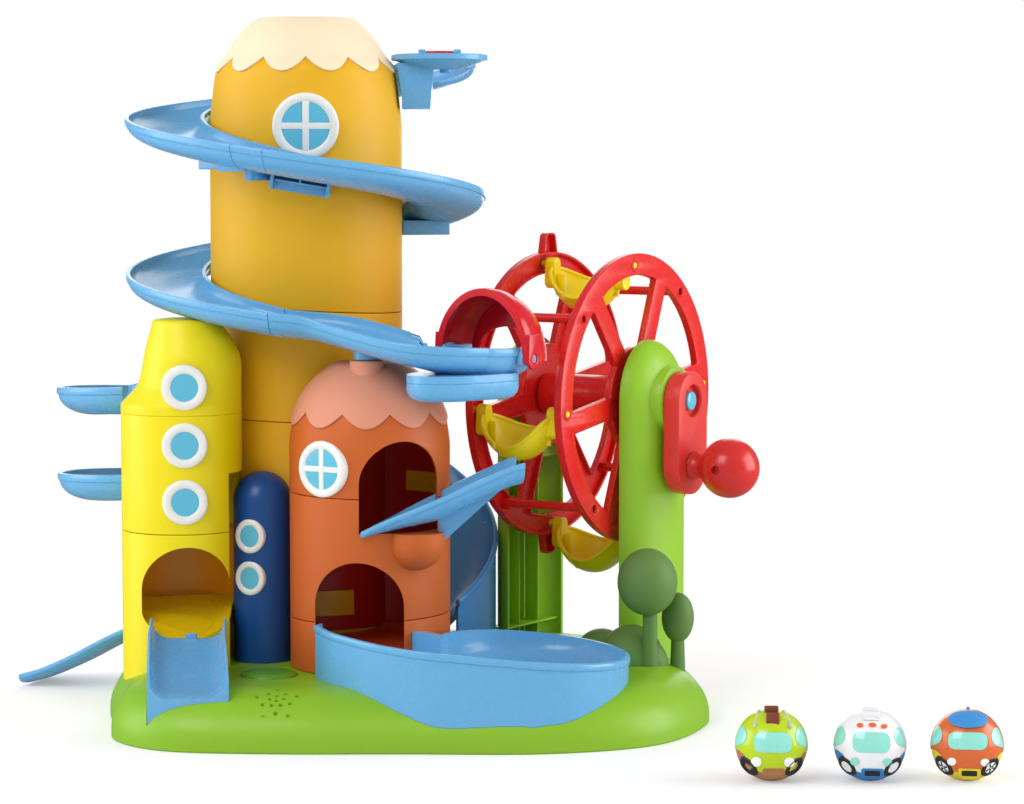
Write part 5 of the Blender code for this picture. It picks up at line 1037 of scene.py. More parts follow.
plan = smooth([(x, y, 0) for x, y in (
    (0.0050, -0.1330), (0.0200, -0.1500), (0.0480, -0.1480), (0.0760, -0.1300), (0.0980, -0.1080),
    (0.1030, -0.0930), (0.0900, -0.0740), (0.0640, -0.0520), (0.0380, -0.0560), (0.0180, -0.0820),
    (0.0050, -0.1080))], 8, closed=True)
middle_of_pan = Vector((0.052, -0.101, 0))
pan = []
for inset, z in ((0.0, 0.3225), (0.0, 0.3160), (0.0006, 0.3154), (0.0, 0.3148), (0.0, 0.3090),
                 (0.0012, 0.3050), (0.0042, 0.3015), (0.0085, 0.2996), (0.0140, 0.2990)):
    pan.append([(*(p + (middle_of_pan - p).normalized() * inset).to_2d(), z) for p in plan])
under_tray = [loft("pan", pan)]
under_tray.append(turned("peg", [(0, 0.3420), (0.0120, 0.3420), (0.0120, 0.3334), (0.0114, 0.3328),
                                 (0, 0.3328)],
                         standing(CHIMNEY), 64))
under_tray.append(cylinder("peg neck", 0.0095, 0.3400, 0.3560, standing(CHIMNEY), 48))
for piece in under_tray:
    carve(piece, swept("tray room", path, rooms, [tangent] + [None] * (len(path) - 2) + [across]))
join(tray, *extras, *under_tray)
dress(tray, sky_blue, "frame", "sky_blue", "end_tray")

# Hood. A deep-red half dome that tips on the tray's pins and guides a car into the wheel. It has a
# stout rolled mouth, two hanging ears and a low arch cut in its back.
HOOD_HALF = 0.050
HOOD_HEIGHT = 0.062
HOOD_REACH = 0.062
HOOD_BACK = 0.036
HOOD_WALL = 0.0026
cherry = moulded("semi-gloss cherry-red moulded polypropylene", "#D81C18", 0.28, 0.9, 0.03, drift=0.04,
                 coat=0.15)
deep_red = moulded("semi-gloss deep-red moulded hood", "#CE0A1C", 0.24, 0.9, 0.03, drift=0.04, coat=0.2)
hood_rows = []
stations = [(-0.0100, 0.0004, 0.0052), (-0.0096, 0.0008, 0.0056), (-0.0088, 0.0010, 0.0058),
            (-0.0010, 0.0010, 0.0058), (-0.0004, 0.0006, 0.0050),
            (0.0002, 0.0, HOOD_WALL)] + [(0.0002 + 0.0358 * k / 14, 0.0, HOOD_WALL) for k in range(1, 15)]
for x, out, thick in stations:
    scale = math.sqrt(1 - (x / HOOD_REACH) ** 2)
    low = math.degrees(math.asin(min(1, 0.004 / (HOOD_HEIGHT * scale))))
    outer = arc((0, 0), (HOOD_HALF * scale + out, HOOD_HEIGHT * scale + out), -low, 180 + low, 64)
    inner_arc = arc((0, 0), (HOOD_HALF * scale - thick, HOOD_HEIGHT * scale - thick), 180 + low, -low, 64)
    hood_rows.append([(x, y, z) for z, y in outer + inner_arc])
hood = loft("hood_dome", hood_rows, place=frame_of_hood)
scale = math.sqrt(1 - (HOOD_BACK / HOOD_REACH) ** 2)
wall_outline = arc((0, 0), (HOOD_HALF * scale - 0.001, HOOD_HEIGHT * scale - 0.001), 0, 180, 64)
arch = arc((0, 0.006), (0.030, 0.020), 0, 180, 40)
wall_outline = wall_outline + [(-0.030, 0.0)] + arch[::-1] + [(0.030, 0.0)]
turned_back = frame_of_hood @ Matrix(((0, 0, 1, 0), (0, 1, 0, 0), (1, 0, 0, 0), (0, 0, 0, 1)))
rear_wall = slab("rear wall", [wall_outline], HOOD_BACK - HOOD_WALL, HOOD_BACK, turned_back, 0.0004)
ears = []
for side in (-1, 1):
    strap = arc((0, 0), 0.0098, 180, 360, 32) + [(0.0098, 0.002), (0.0085, 0.022), (-0.0085, 0.022),
                                                 (-0.0098, 0.002)]
    ears.append(side_slab("ear", [strap, circle(0.0044, 32)], side, 0.0472, 0.0512, frame_of_hood, 0.0006))
join(hood, rear_wall, *ears)
dress(hood, deep_red, "hood_body", "cherry_red", "hood")

# Top platform. A shallow sky-blue dish on a square bracket at the amber tower's wall. A red flap
# swings between two lugs in the middle of the dish and lets one car go at a time.
PLATFORM_PLACE = (0.0290, 0.070)
PLATFORM_RIM = 0.6120
PLATFORM_RADIUS = 0.0460
rim = PLATFORM_RIM
dish = [(0, rim - 0.0110), (0.0200, rim - 0.0100), (0.0260, rim - 0.0075), (0.0400, rim - 0.0040),
        (0.0432, rim - 0.0005), (0.0440, rim), (0.0452, rim), (PLATFORM_RADIUS, rim - 0.0008),
        (PLATFORM_RADIUS, rim - 0.0048), (0.0452, rim - 0.0056), (0.0410, rim - 0.0060),
        (0.0400, rim - 0.0066), (0.0270, rim - 0.0120), (0.0220, rim - 0.0136), (0, rim - 0.0140)]
platform = turned("loading_dish", dish, standing(PLATFORM_PLACE), 112)
mouth_turn = SPIRAL_START + JOINT_GAP - 0.3
mouth = standing(round_amber(mouth_turn)) @ Matrix.Rotation(math.radians(mouth_turn), 4, "Z")
carve(platform, block("beyond", (-0.06, 0, rim - 0.05), (0.06, 0.08, rim + 0.03), mouth, 0))
x, y = PLATFORM_PLACE
post_rows = []
for near, far, half, drop in ((0.001, -0.0085, 0.018, 0.0514), (0.001, -0.0078, 0.020, 0.0400),
                              (-0.0035, -0.0055, 0.020, 0.0080)):
    left, right, low = AMBER_AXIS[0] + AMBER_RADIUS + near, x + far, rim - drop
    post_rows.append([(left, y - half, low), (right, y - half, low), (right, y + half, low),
                      (left, y + half, low)])
post_box = loft("bracket", post_rows)
boss = turned("under boss", [(0, rim - 0.0120), (0.0060, rim - 0.0120), (0.0060, rim - 0.0165),
                             (0.0052, rim - 0.0172), (0, rim - 0.0172)],
              Matrix.Translation((x + 0.006, y - 0.002, 0)), 48)
level = rim + 0.0012
crossways = Matrix(((0, 0, 1, 0), (1, 0, 0, 0), (0, 1, 0, 0), (0, 0, 0, 1)))
lug_frame = Matrix.Translation((x, y + 0.002, 0)) @ crossways
lugs = []
for side in (-1, 1):
    shape = [(-0.0040, rim - 0.0105), (0.0040, rim - 0.0105)] + arc((0, level), 0.0040, 0, 180, 20)
    lugs.append(side_slab("lug", [shape, circle(0.0019, 12, (0, level))], side, 0.013 + GAP, 0.0200,
                          lug_frame, 0.0005))
join(platform, post_box, boss, *lugs)
dress(platform, sky_blue, "frame", "sky_blue", "top_platform")
flap_frame = Matrix.Translation((x, y + 0.002, level))
flap = block("loading_flap", (-0.013, -0.015, -0.0011), (0.013, 0, 0.0011), flap_frame, 0.0007)
barrel = rod("barrel", 0.0026, -0.0130, 0.0130, (0.0003, 0.0004), flap_frame @ crossways, 40)
pin = rod("pin", 0.0016, -0.0170, 0.0170, (0.0002, 0.0003), flap_frame @ crossways, 24)
tongue = block("tongue", (-0.0060, -0.0145, 0.0008), (0.0060, -0.0030, 0.0020), flap_frame, 0.0005)
join(flap, barrel, pin, tongue)
dress(flap, cherry, "flap", "cherry_red", "platform_flap")

# Wheel. Two cherry halves carry the four buckets between them, each a flat rim on six spokes with a
# flange turned in round every edge. Four screws join them through tubes moulded on the back half.
WHEEL_PLACE = (0.1725, 0.075, 0.288)
WHEEL_RADIUS = 0.137
PIVOT_RING = 0.126
PLATE_LOW, PLATE_HIGH = 0.0495, 0.0525
FLANGE_LOW = 0.0446
PIVOT_SPOT = Matrix.Translation((PIVOT_RING, 0, 0))
wheel_frame = axle_frame(WHEEL_PLACE)
ring_of, size = node_tree("ring of copies", (("Thing", "Object"), ("Count", "Int"), ("First turn", "Float"),
                                             ("Step", "Float")))
spots = add(ring_of, "GeometryNodeMeshLine", Count=size["Count"], Offset=(0, 0, 0))
number = add(ring_of, "GeometryNodeInputIndex")
turn = maths(ring_of, "MULTIPLY_ADD", number.outputs["Index"], size["Step"], size["First turn"])
spin = add(ring_of, "ShaderNodeCombineXYZ", Z=maths(ring_of, "RADIANS", turn))
thing = add(ring_of, "GeometryNodeObjectInfo", Object=size["Thing"])
copies = add(ring_of, "GeometryNodeInstanceOnPoints", Points=spots.outputs["Mesh"],
             Instance=thing.outputs["Geometry"], Rotation=spin.outputs["Vector"])
sent_out(ring_of, size, copies.outputs["Instances"])


def round_the_axle(thing, count, first, place=None):
    """Copies of a thing in an even ring about Z."""
    return grown("ring", ring_of, place, Thing=thing, Count=count, First_turn=first, Step=360 / count)


def beside(points, distance):
    """An outline moved sideways, outward for one drawn anticlockwise."""
    out = []
    for i, (x, y) in enumerate(points):
        before, after = Vector(points[i - 1]), Vector(points[(i + 1) % len(points)])
        ahead = (after - before).normalized()
        out.append((x + ahead.y * distance, y - ahead.x * distance))
    return out


def spoke_window():
    """The opening between two spokes, the first spoke lying along X."""
    low_rim, hub = WHEEL_RADIUS - 0.0205, 0.049
    at_rim, at_hub = (math.degrees(math.asin(0.010 / r)) for r in (low_rim, hub))
    corners = arc((0, 0), low_rim, at_rim, 60 - at_rim, 22) + arc((0, 0), hub, 60 - at_hub, at_hub, 12)
    return eased(corners, 0.0030, steps=3)


def wheel_half(name, face, holes):
    """One half of the wheel. Its face is +1 for the front and -1 for the back."""
    rim = circle(WHEEL_RADIUS, 144)
    windows = []
    for i in range(6):
        turn = Matrix.Rotation(math.radians(8 + 60 * i), 2)
        windows.append([tuple(turn @ Vector(p)) for p in spoke_window()])
    plate = side_slab(name, [rim, *windows, circle(0.0134, 48), *holes], face, PLATE_LOW, PLATE_HIGH,
                      wheel_frame, 0.0007)
    skirt = side_slab("skirt", [circle(WHEEL_RADIUS - 0.0002, 144), circle(WHEEL_RADIUS - 0.0026, 144)], face,
                      FLANGE_LOW, PLATE_LOW + 0.0008, wheel_frame, 0.0005)
    edging = side_slab("edging", [beside(spoke_window(), 0.0020), spoke_window()], face, FLANGE_LOW + 0.0008,
                       PLATE_LOW + 0.0008, None, 0.0004)
    flanges = round_the_axle(edging, 6, 8, wheel_frame)
    hub = turned("hub", [(0.0134, face * FLANGE_LOW), (0.0134, face * 0.0533), (0.0140, face * 0.0538),
                         (0.0176, face * 0.0538), (0.0184, face * 0.0533), (0.0192, face * 0.0520),
                         (0.0192, face * 0.0500), (0.0160, face * 0.0500), (0.0160, face * FLANGE_LOW)],
                 wheel_frame)
    collar = turned("collar", [(0.0036, face * PLATE_LOW), (0.0036, face * 0.0530), (0.0040, face * 0.0533),
                               (0.0056, face * 0.0533), (0.0062, face * 0.0528), (0.0062, face * PLATE_LOW)],
                    PIVOT_SPOT, 40)
    return join(plate, skirt, flanges, hub, round_the_axle(collar, 4, 3, wheel_frame))


def holes_at(radius, first):
    """Four round holes on the pivots' ring, the first at this turn."""
    turns = [math.radians(first + 90 * i) for i in range(4)]
    return [circle(radius, 24, (PIVOT_RING * math.cos(t), PIVOT_RING * math.sin(t))) for t in turns]


steel = moulded("zinc-plated steel screw", "#8E9296", 0.32, 0.6, 0.02, drift=0.03)
steel.node_tree.nodes["Principled BSDF"].inputs["Metallic"].default_value = 1.0
front_half = wheel_half("wheel_face_front", 1, holes_at(0.0034, 3) + holes_at(0.0036, 51))
well = turned("screw well", [(0.0036, 0.0450), (0.0036, 0.0528), (0.0040, 0.0532), (0.0052, 0.0532),
                             (0.0058, 0.0527), (0.0058, 0.0450)], PIVOT_SPOT, 40)
floor_of_well = cylinder("well floor", 0.0042, 0.0470, 0.0480, PIVOT_SPOT, 32)
join(front_half, round_the_axle(well, 4, 51, wheel_frame), round_the_axle(floor_of_well, 4, 51, wheel_frame))
dress(front_half, cherry, "wheel", "cherry_red", "wheel_front")
head = turned("screw_heads", [(0, 0.0503), (0.0016, 0.0502), (0.0026, 0.0496), (0.0029, 0.0489),
                              (0.0029, 0.0478), (0, 0.0478)],
              PIVOT_SPOT, 32)
for quarter in (0, 90):
    carve(head, block("drive slot", (-0.0018, -0.0003, 0.0492), (0.0018, 0.0003, 0.0520),
                      PIVOT_SPOT @ Matrix.Rotation(math.radians(quarter), 4, "Z"), 0))
heads = round_the_axle(head, 4, 51, wheel_frame)
heads.name = "screw_heads"
dress(heads, steel, "wheel", "cherry_red")
back_half = wheel_half("wheel_face_back", -1, holes_at(0.0034, 3))
tube = turned("cross tube", [(0.0022, 0.0492), (0.0022, 0.0380), (0.0018, -0.0510), (0.0042, -0.0510),
                             (0.0042, 0.0488), (0.0038, 0.0492)], PIVOT_SPOT, 40)
gusset = block("tube gusset", (PIVOT_RING - 0.0075, -0.0007, -0.0505), (PIVOT_RING + 0.0075, 0.0007, -0.0380),
               None, 0.0004)
tab_outline = eased([(WHEEL_RADIUS - 0.004, -0.0125), (WHEEL_RADIUS + 0.018, -0.0078),
                     (WHEEL_RADIUS + 0.018, 0.0078), (WHEEL_RADIUS - 0.004, 0.0125)], 0.0050, steps=6)
tab = slab("tab", [tab_outline], -0.0525, -0.0507, None, 0.0006)
tab_wall = slab("tab wall", [tab_outline, beside(tab_outline, -0.0018)], -0.0516, -0.0446, None, 0.0004)
join(back_half, round_the_axle(tube, 4, 51, wheel_frame), round_the_axle(gusset, 4, 51, wheel_frame),
     round_the_axle(join(tab, tab_wall), 2, 90, wheel_frame))
dress(back_half, cherry, "wheel", "cherry_red", "wheel_back")
drum = turned("axle_drum", [(0, 0.1079), (0.0070, 0.1079), (0.0080, 0.1069), (0.0080, 0.0630),
                            (0.0126, 0.0622), (0.0130, 0.0618), (0.0130, 0.0482), (0.0194, 0.0482),
                            (0.0200, 0.0476), (0.0200, -0.0476), (0.0194, -0.0482), (0.0130, -0.0482),
                            (0.0130, -0.0618), (0.0126, -0.0622), (0.0080, -0.0630), (0.0080, -0.0752),
                            (0.0070, -0.0762), (0, -0.0762)], wheel_frame)
dress(drum, cherry, "wheel", "cherry_red", "wheel_drum")

# Buckets. Four sun-yellow scoops hang level from pins between the halves, each a thin bowl that dips
# at its middle, lowest where a car rolls in, with a rolled bead along the rim and two stout ears.
sun_yellow = moulded("satin sun-yellow moulded polypropylene", "#F4DC06", 0.32, 0.9, 0.03, drift=0.03)
beading, size = node_tree("bead along a path", (("Path", "Object"), ("Radius", "Float")))
drawn = add(beading, "GeometryNodeObjectInfo", Object=size["Path"])
section = add(beading, "GeometryNodeCurvePrimitiveCircle", Resolution=14, Radius=size["Radius"])
cord = add(beading, "GeometryNodeCurveToMesh", Curve=drawn.outputs["Geometry"],
           Profile_Curve=section.outputs["Curve"], Fill_Caps=True)
sent_out(beading, size, cord.outputs["Mesh"])


def bead(path, radius, place=None):
    """A round bead along points in space."""
    return grown("bead", beading, place, Path=poly_curve("path", [path], "3D", closed=False), Radius=radius)


BUCKET_HALF = 0.0375
BUCKET_ACROSS = 0.0330
BUCKET_DEPTH = 0.0410
BUCKET_DROP = 0.004
BUCKET_SKIN = 0.0020


def bucket_row(turn, inset):
    """A bucket's section at a turn from its middle toward an ear."""
    half, wide, deep = BUCKET_HALF - inset, BUCKET_ACROSS - inset, BUCKET_DEPTH - inset
    along, share = half * math.sin(turn), math.cos(turn)
    far, near = (math.asin(min(0.9, dip * share / BUCKET_DEPTH)) for dip in (0.0135, 0.0280))
    bow = [far + (math.pi - far - near) * i / 36 for i in range(37)]
    return [(wide * share * math.cos(t), -BUCKET_DROP - deep * share * math.sin(t), along) for t in bow]


def bucket(name, place):
    """A scoop with its ears, pins and beads, hung from the middle of its frame."""
    turns = [math.radians(-84 + 168 * k / 44) for k in range(45)]
    rows = [bucket_row(t, 0) + bucket_row(t, BUCKET_SKIN)[::-1] for t in turns]
    scoop = loft(name, rows, place=place)
    extras = []
    for end in (0, 36):
        rim = [Vector(bucket_row(t, BUCKET_SKIN / 2)[end]) for t in turns]
        extras.append(bead(rim, 0.0019, place))
    for side in (-1, 1):
        ear = arc((0, 0), 0.0058, 0, 180, 20) + arc((0, -0.0165), 0.0072, 180, 360, 20)
        extras.append(side_slab("ear", [ear], side, 0.0330, 0.0439, place, 0.0010))
        profile = [(0, side * 0.0535), (0.0024, side * 0.0535), (0.0030, side * 0.0529),
                   (0.0030, side * 0.0400), (0, side * 0.0400)]
        extras.append(turned("pin", profile, place, 32))
        web = block("web", (-0.0011, -0.0300, 0.0260), (0.0011, -0.0100, 0.0350), None, 0.0005)
        extras.append(web)
        web.data.transform(place @ Matrix.Diagonal((1, 1, side, 1)))
    cone = turned("stud", [(0, 0.0050), (0.0008, 0.0048), (0.0014, 0.0040), (0.0026, 0.0006),
                           (0.0030, -0.0020), (0, -0.0020)],
                  place @ Matrix.Translation((-0.0228, -0.0300, -0.0120))
                  @ Matrix.Rotation(math.radians(-52), 4, "Z")
                  @ Matrix.Rotation(math.radians(-90), 4, "Y"), 28)
    crease = [Vector(bucket_row(math.radians(turn), -0.0002)[i])
              for turn, i in ((-19, 29), (-22, 25), (-25, 21), (-26, 18))]
    return join(scoop, *extras, cone, bead(smooth(crease, 5), 0.0006, place))


for i, body in enumerate(("bucket_one", "bucket_two", "bucket_three", "bucket_four")):
    turn = math.radians(3 + 90 * i)
    place = axle_frame(wheel_frame @ Vector((PIVOT_RING * math.cos(turn), PIVOT_RING * math.sin(turn), 0)))
    scoop = bucket(f"scoop_{i + 1}", place)
    dress(scoop, sun_yellow, body, "sun_yellow", f"bucket_{i + 1}", angle=40)

# Posts. Two fresh-green columns stand in the base and hold the axle, each a half round with its flat
# toward the wheel and a domed top. The flat side is open low down. The front one has a crank boss.
POST_HALF = 0.050
POST_BULGE = 0.029
POST_DOME = 0.056
POST_INNER = 0.0625
POST_WALL = 0.0035
post_green = moulded("satin fresh-green moulded polypropylene", "#8FC224", 0.38, 0.7, 0.05, drift=0.03)
post_frame = axle_frame((WHEEL_PLACE[0], WHEEL_PLACE[1], 0))
AXLE_HEIGHT = WHEEL_PLACE[2]


def post_level(height, share, side, inset=0.0, opened=0.0):
    """A post's outline at a height: a flat face toward the wheel and a bow away from it."""
    half, bulge = (POST_HALF - inset) * share, (POST_BULGE - inset) * share
    flat = POST_INNER - opened
    bow = [(x, POST_INNER + y) for x, y in arc((0, 0), (half, bulge), 3, 177, 44)]
    points = [(half, flat - 0.0004), (half, flat + 0.0006)] + bow
    points += [(-half, flat + 0.0006), (-half, flat - 0.0004)]
    return [(x, height, side * z) for x, z in points]


def column(name, side):
    """A whole post on one side of the wheel: 1 in front and -1 behind."""
    turns = [math.radians(86 * k / 22) for k in range(23)]
    rows = [post_level(0.004, 1.0, side)]
    rows += [post_level(0.03 + (AXLE_HEIGHT - 0.03) * k / 12, 1.0, side) for k in range(12)]
    rows += [post_level(AXLE_HEIGHT + POST_DOME * math.sin(t), math.cos(t), side) for t in turns]
    return loft(name, rows, place=post_frame)


def hollow(side, top):
    """The space that opens a post's flat side from its foot up to a height."""
    return loft("room", [post_level(-0.01, 1.0, side, POST_WALL, 0.02),
                         post_level(top, 1.0, side, POST_WALL, 0.02)],
                place=post_frame)


front_post = column("front_column", 1)
carve(front_post, hollow(1, 0.225))
boss = turned("crank boss", [(0.0084, 0.0725), (0.0084, 0.0956), (0.0300, 0.0956), (0.0312, 0.0950),
                             (0.0318, 0.0938), (0.0322, 0.0725)],
              wheel_frame)
weld(front_post, boss)
carve(front_post, cylinder("axle bore", 0.0084, 0.050, 0.110, wheel_frame, 64))
carve(front_post, base_solid())
dress(front_post, post_green, "frame", "grass_green", "post_front")
back_post = column("back_column", -1)
carve(back_post, hollow(-1, 0.225))
carve(back_post, cylinder("axle bore", 0.0084, -0.050, -0.0771, wheel_frame, 64))
carve(back_post, base_solid())
ribs = []
for x in (-0.0170, 0.0170):
    ribs.append(block("post rib", (x - 0.0009, 0.045, -0.0850), (x + 0.0009, 0.224, -0.0700), post_frame,
                      0.0004))
ribs.append(block("post step", (-0.0466, 0.0620, -0.0860), (0.0466, 0.0640, -0.0660), post_frame, 0.0005))
join(back_post, *ribs)
dress(back_post, post_green, "frame", "grass_green", "post_back")

# Crank. A rose-red arm with round ends sits on the end of the axle, held by one sky-blue screw in a
# round recess. Its ball knob turns on a pin, and has a small vent hole in its side.
crank_red = moulded("satin rose-red moulded polypropylene", "#D9362E", 0.36, 0.8, 0.04, drift=0.03)
knob_red = moulded("semi-gloss red moulded knob", "#CC2822", 0.28, 0.9, 0.03, drift=0.03, coat=0.15)
CRANK_LOW, CRANK_HIGH = 0.0960, 0.1130
CRANK_ARM = 0.061
CRANK_HALF = 0.027
stadium = arc((0, 0), CRANK_HALF, 0, 180, 48) + arc((0, -CRANK_ARM), CRANK_HALF, 180, 360, 48)
arm = slab("crank_lever", [stadium], CRANK_LOW, CRANK_HIGH, wheel_frame, 0.0016)
well = [(0, CRANK_HIGH + 0.01), (0.0156, CRANK_HIGH + 0.01), (0.0156, CRANK_HIGH - 0.0002),
        (0.0148, CRANK_HIGH - 0.0012), (0.0146, CRANK_HIGH - 0.0055), (0.0141, CRANK_HIGH - 0.0060),
        (0.0091, CRANK_HIGH - 0.0060), (0.0091, 0.1079), (0.0083, 0.1079), (0.0083, CRANK_LOW - 0.01),
        (0, CRANK_LOW - 0.01)]
carve(arm, turned("well", well, wheel_frame, 80))
knob_frame = wheel_frame @ Matrix.Translation((0, -CRANK_ARM, 0))
carve(arm, cylinder("pin hole", 0.0059, CRANK_LOW + 0.003, 0.12, knob_frame, 48))
dress(arm, crank_red, "wheel", "cherry_red", "crank_arm")
screw = turned("axle_screw", [(0, 0.1118), (0.0076, 0.1117), (0.0084, 0.1113), (0.0088, 0.1105),
                              (0.0088, 0.1085), (0, 0.1085)],
               wheel_frame, 64)
dress(screw, pane_blue, "wheel", "sky_blue", "crank_screw")
KNOB_RADIUS = 0.028
middle = CRANK_HIGH + 0.039
foot = middle - KNOB_RADIUS * math.cos(math.radians(26))
profile = [(KNOB_RADIUS * math.sin(math.radians(a)), middle + KNOB_RADIUS * math.cos(math.radians(a)))
           for a in range(0, 153, 4)]
profile += [(0.0117, foot - 0.0012), (0.0113, foot - 0.0026), (0.0115, CRANK_HIGH + 0.0060),
            (0.0122, CRANK_HIGH + 0.0034), (0.0133, CRANK_HIGH + 0.0022), (0.0136, CRANK_HIGH + 0.0010),
            (0.0132, CRANK_HIGH + 0.0003), (0.0055, CRANK_HIGH + 0.0003), (0.0055, CRANK_LOW + 0.004),
            (0, CRANK_LOW + 0.004)]
knob = turned("ball_knob", profile, knob_frame, 112)
vent = turned("vent", [(0, 0.04), (0.0054, 0.04), (0.0044, KNOB_RADIUS - 0.0008),
                       (0.0040, KNOB_RADIUS - 0.0060), (0, KNOB_RADIUS - 0.0060)],
              knob_frame @ Matrix.Translation((0, 0, middle)) @ Matrix.Rotation(-math.pi / 2, 4, "Y"), 40)
carve(knob, vent)
dress(knob, knob_red, "knob", "cherry_red", "crank_knob")

# Basin. One sky-blue moulding in front: a channel from the orange doorway runs into a deep round bowl
# that catches the cars. Its rim falls to the right and carries a small rolled bead all round.
BOWL_PLACE = (0.116, -0.135)
BOWL_RADIUS = 0.0830
BASIN_WALL = 0.0026
BASIN_FRONT = ((-0.0790, -0.1240), (-0.0640, -0.1570), (-0.0438, -0.1810), (-0.0200, -0.2020),
               (0.0060, -0.2155), (0.0340, -0.2222), (0.0760, -0.2232), (0.1174, -0.2222))


def basin_rim(x):
    """The height of the basin's rim, which falls to the right."""
    return 0.0975 - 0.0248 * (x + 0.079) / 0.278


def post_of_tower(axis, radius, top):
    """A plain cylinder that stands for a tower, to trim what leans against it."""
    return cylinder("tower form", radius, -0.01, top, standing(axis), 128)


front = [(p.x, p.y) for p in smooth([(x, y, 0) for x, y in BASIN_FRONT], 8)]
edge = front + arc(BOWL_PLACE, BOWL_RADIUS + BASIN_WALL, -84, 165, 96)[1:]
edge += [(0.024, -0.1040), (ORANGE_AXIS[0] + 0.030, ORANGE_AXIS[1] - 0.050),
         (ORANGE_AXIS[0] - 0.036, ORANGE_AXIS[1] - 0.046)]
levels = [(0.0, None), (0.0, -0.0066), (0.0010, -0.0060), (0.0014, -0.0050), (0.0014, -0.0016),
          (0.0009, -0.0005), (0.0, 0.0)]
rows = []
for out, drop in levels:
    rows.append([(x, y, 0.001 if drop is None else basin_rim(x) + drop)
                 for x, y in (beside(edge, out) if out else edge)])
catch_basin = loft("catch_basin", rows)
inner = beside(front, -BASIN_WALL)[1:-1]
inner = [(-0.0770, -0.1230)] + inner + [(BOWL_PLACE[0], BOWL_PLACE[1] - BOWL_RADIUS + 0.002),
                                        (0.060, -0.1500), (0.036, -0.1320), (0.010, -0.1130),
                                        (-0.005, -0.1050), (ORANGE_AXIS[0] - 0.034, ORANGE_AXIS[1] - 0.044)]
channel = slab("channel", [inner], 0.0731, 0.14)
hollow_of_bowl = [(0, 0.14), (BOWL_RADIUS, 0.14), (BOWL_RADIUS, 0.0740), (BOWL_RADIUS - 0.0006, 0.0690),
                  (BOWL_RADIUS - 0.0024, 0.0650), (BOWL_RADIUS - 0.0058, 0.0608),
                  (BOWL_RADIUS - 0.0120, 0.0576), (BOWL_RADIUS * 0.75, 0.0560), (0, 0.0545)]
bowl = turned("bowl", hollow_of_bowl, standing(BOWL_PLACE), 160)
carve(catch_basin, channel, bowl)
carve(catch_basin, base_solid())
carve(catch_basin, post_of_tower(ORANGE_AXIS, ORANGE_RADIUS + GAP, 0.2))
dress(catch_basin, sky_blue, "frame", "sky_blue", "basin")

# Small ramp. A short sky-blue half-pipe that takes a car from the wheel into the orange building. It
# gets shallower toward its foot, which rests on the round boss under the upper doorway.
RAMP_PATH = ((-0.0330, -0.1010, 0.1820), (-0.0005, -0.1060, 0.1980), (0.0313, -0.1070, 0.2125),
             (0.0620, -0.1050, 0.2270), (0.0911, -0.1020, 0.2400), (0.1050, -0.1000, 0.2440))
path = smooth(RAMP_PATH, 10)
depths = [0.0215 * min(1, 0.35 + 0.65 * max(0, (point.x + 0.0330) / 0.060)) for point in path]
ramp = swept("bucket_ramp", path, [trough_outline(0.028, depth, lip_tall=0.0056) for depth in depths])
fin = slab("fin", [eased([(0.0313, 0.1714), (0.0362, 0.1716), (0.0900, 0.2192), (0.0600, 0.2057),
                          (0.0313, 0.1945)], 0.001)], -0.0012, 0.0012,
           Matrix(((1, 0, 0, 0), (0, 0, -1, -0.1080), (0, 1, 0, 0), (0, 0, 0, 1))), 0.0004)
join(ramp, fin)
dress(ramp, sky_blue, "frame", "sky_blue", "small_ramp")

# Back chute. A deep half-pipe behind the orange building that brings a car down from the
# wheel round the tower's right side, in the sky-blue plastic painted a darker steel blue as painted
# shade. Its outer wall runs on down to the base as a skirt.
# The steel blue is painted shade: a darker copy of the sky-blue plastic for the shaded chute.
steel_blue = moulded("gloss steel-blue moulded polypropylene", "#4488CC", 0.24, 0.9, 0.02, drift=0.03,
                     coat=0.1, gloss=0.35)
CHUTE_RADIUS = 0.1370
CHUTE_HALF = 0.0430
CHUTE_TURN = 80.0
CHUTE_START, CHUTE_KNEE = 0.2400, 0.2145
CHUTE_FALLS = (0.00073, 0.00132)
KNEE_AFTER = 35.0


def chute_height(gone):
    """The height of the chute's rim line after so many degrees."""
    return min(CHUTE_START - CHUTE_FALLS[0] * gone, CHUTE_KNEE - CHUTE_FALLS[1] * (gone - KNEE_AFTER))


section = poly_curve("section", [trough_outline(CHUTE_HALF, 0.036)])
chute = grown("return_chute", round_slide, standing(AMBER_AXIS), Section=section, Rows=60,
              Radius=CHUTE_RADIUS, First_turn=CHUTE_TURN, Swept_turn=-116.0, First_height=CHUTE_START,
              Early_slope=-CHUTE_FALLS[0], Knee=KNEE_AFTER, Knee_height=CHUTE_KNEE,
              Late_slope=-CHUTE_FALLS[1])
rows = []
for k in range(33):
    gone = 70 + 46 * k / 32
    outer, top = CHUTE_RADIUS + CHUTE_HALF, chute_height(gone) - 0.006
    rows.append([(*round_amber(CHUTE_TURN - gone, r), z)
                 for r, z in ((outer, top), (outer, 0.02), (outer - 0.0026, 0.02), (outer - 0.0026, top))])
skirt = loft("skirt", rows)
carve(skirt, base_solid())
carve(chute, post_of_tower(ORANGE_AXIS, ORANGE_RADIUS + GAP, 0.37))
carve(skirt, post_of_tower(ORANGE_AXIS, ORANGE_RADIUS + GAP, 0.37))
join(chute, skirt)
dress(chute, steel_blue, "frame", "steel_blue", "back_chute")

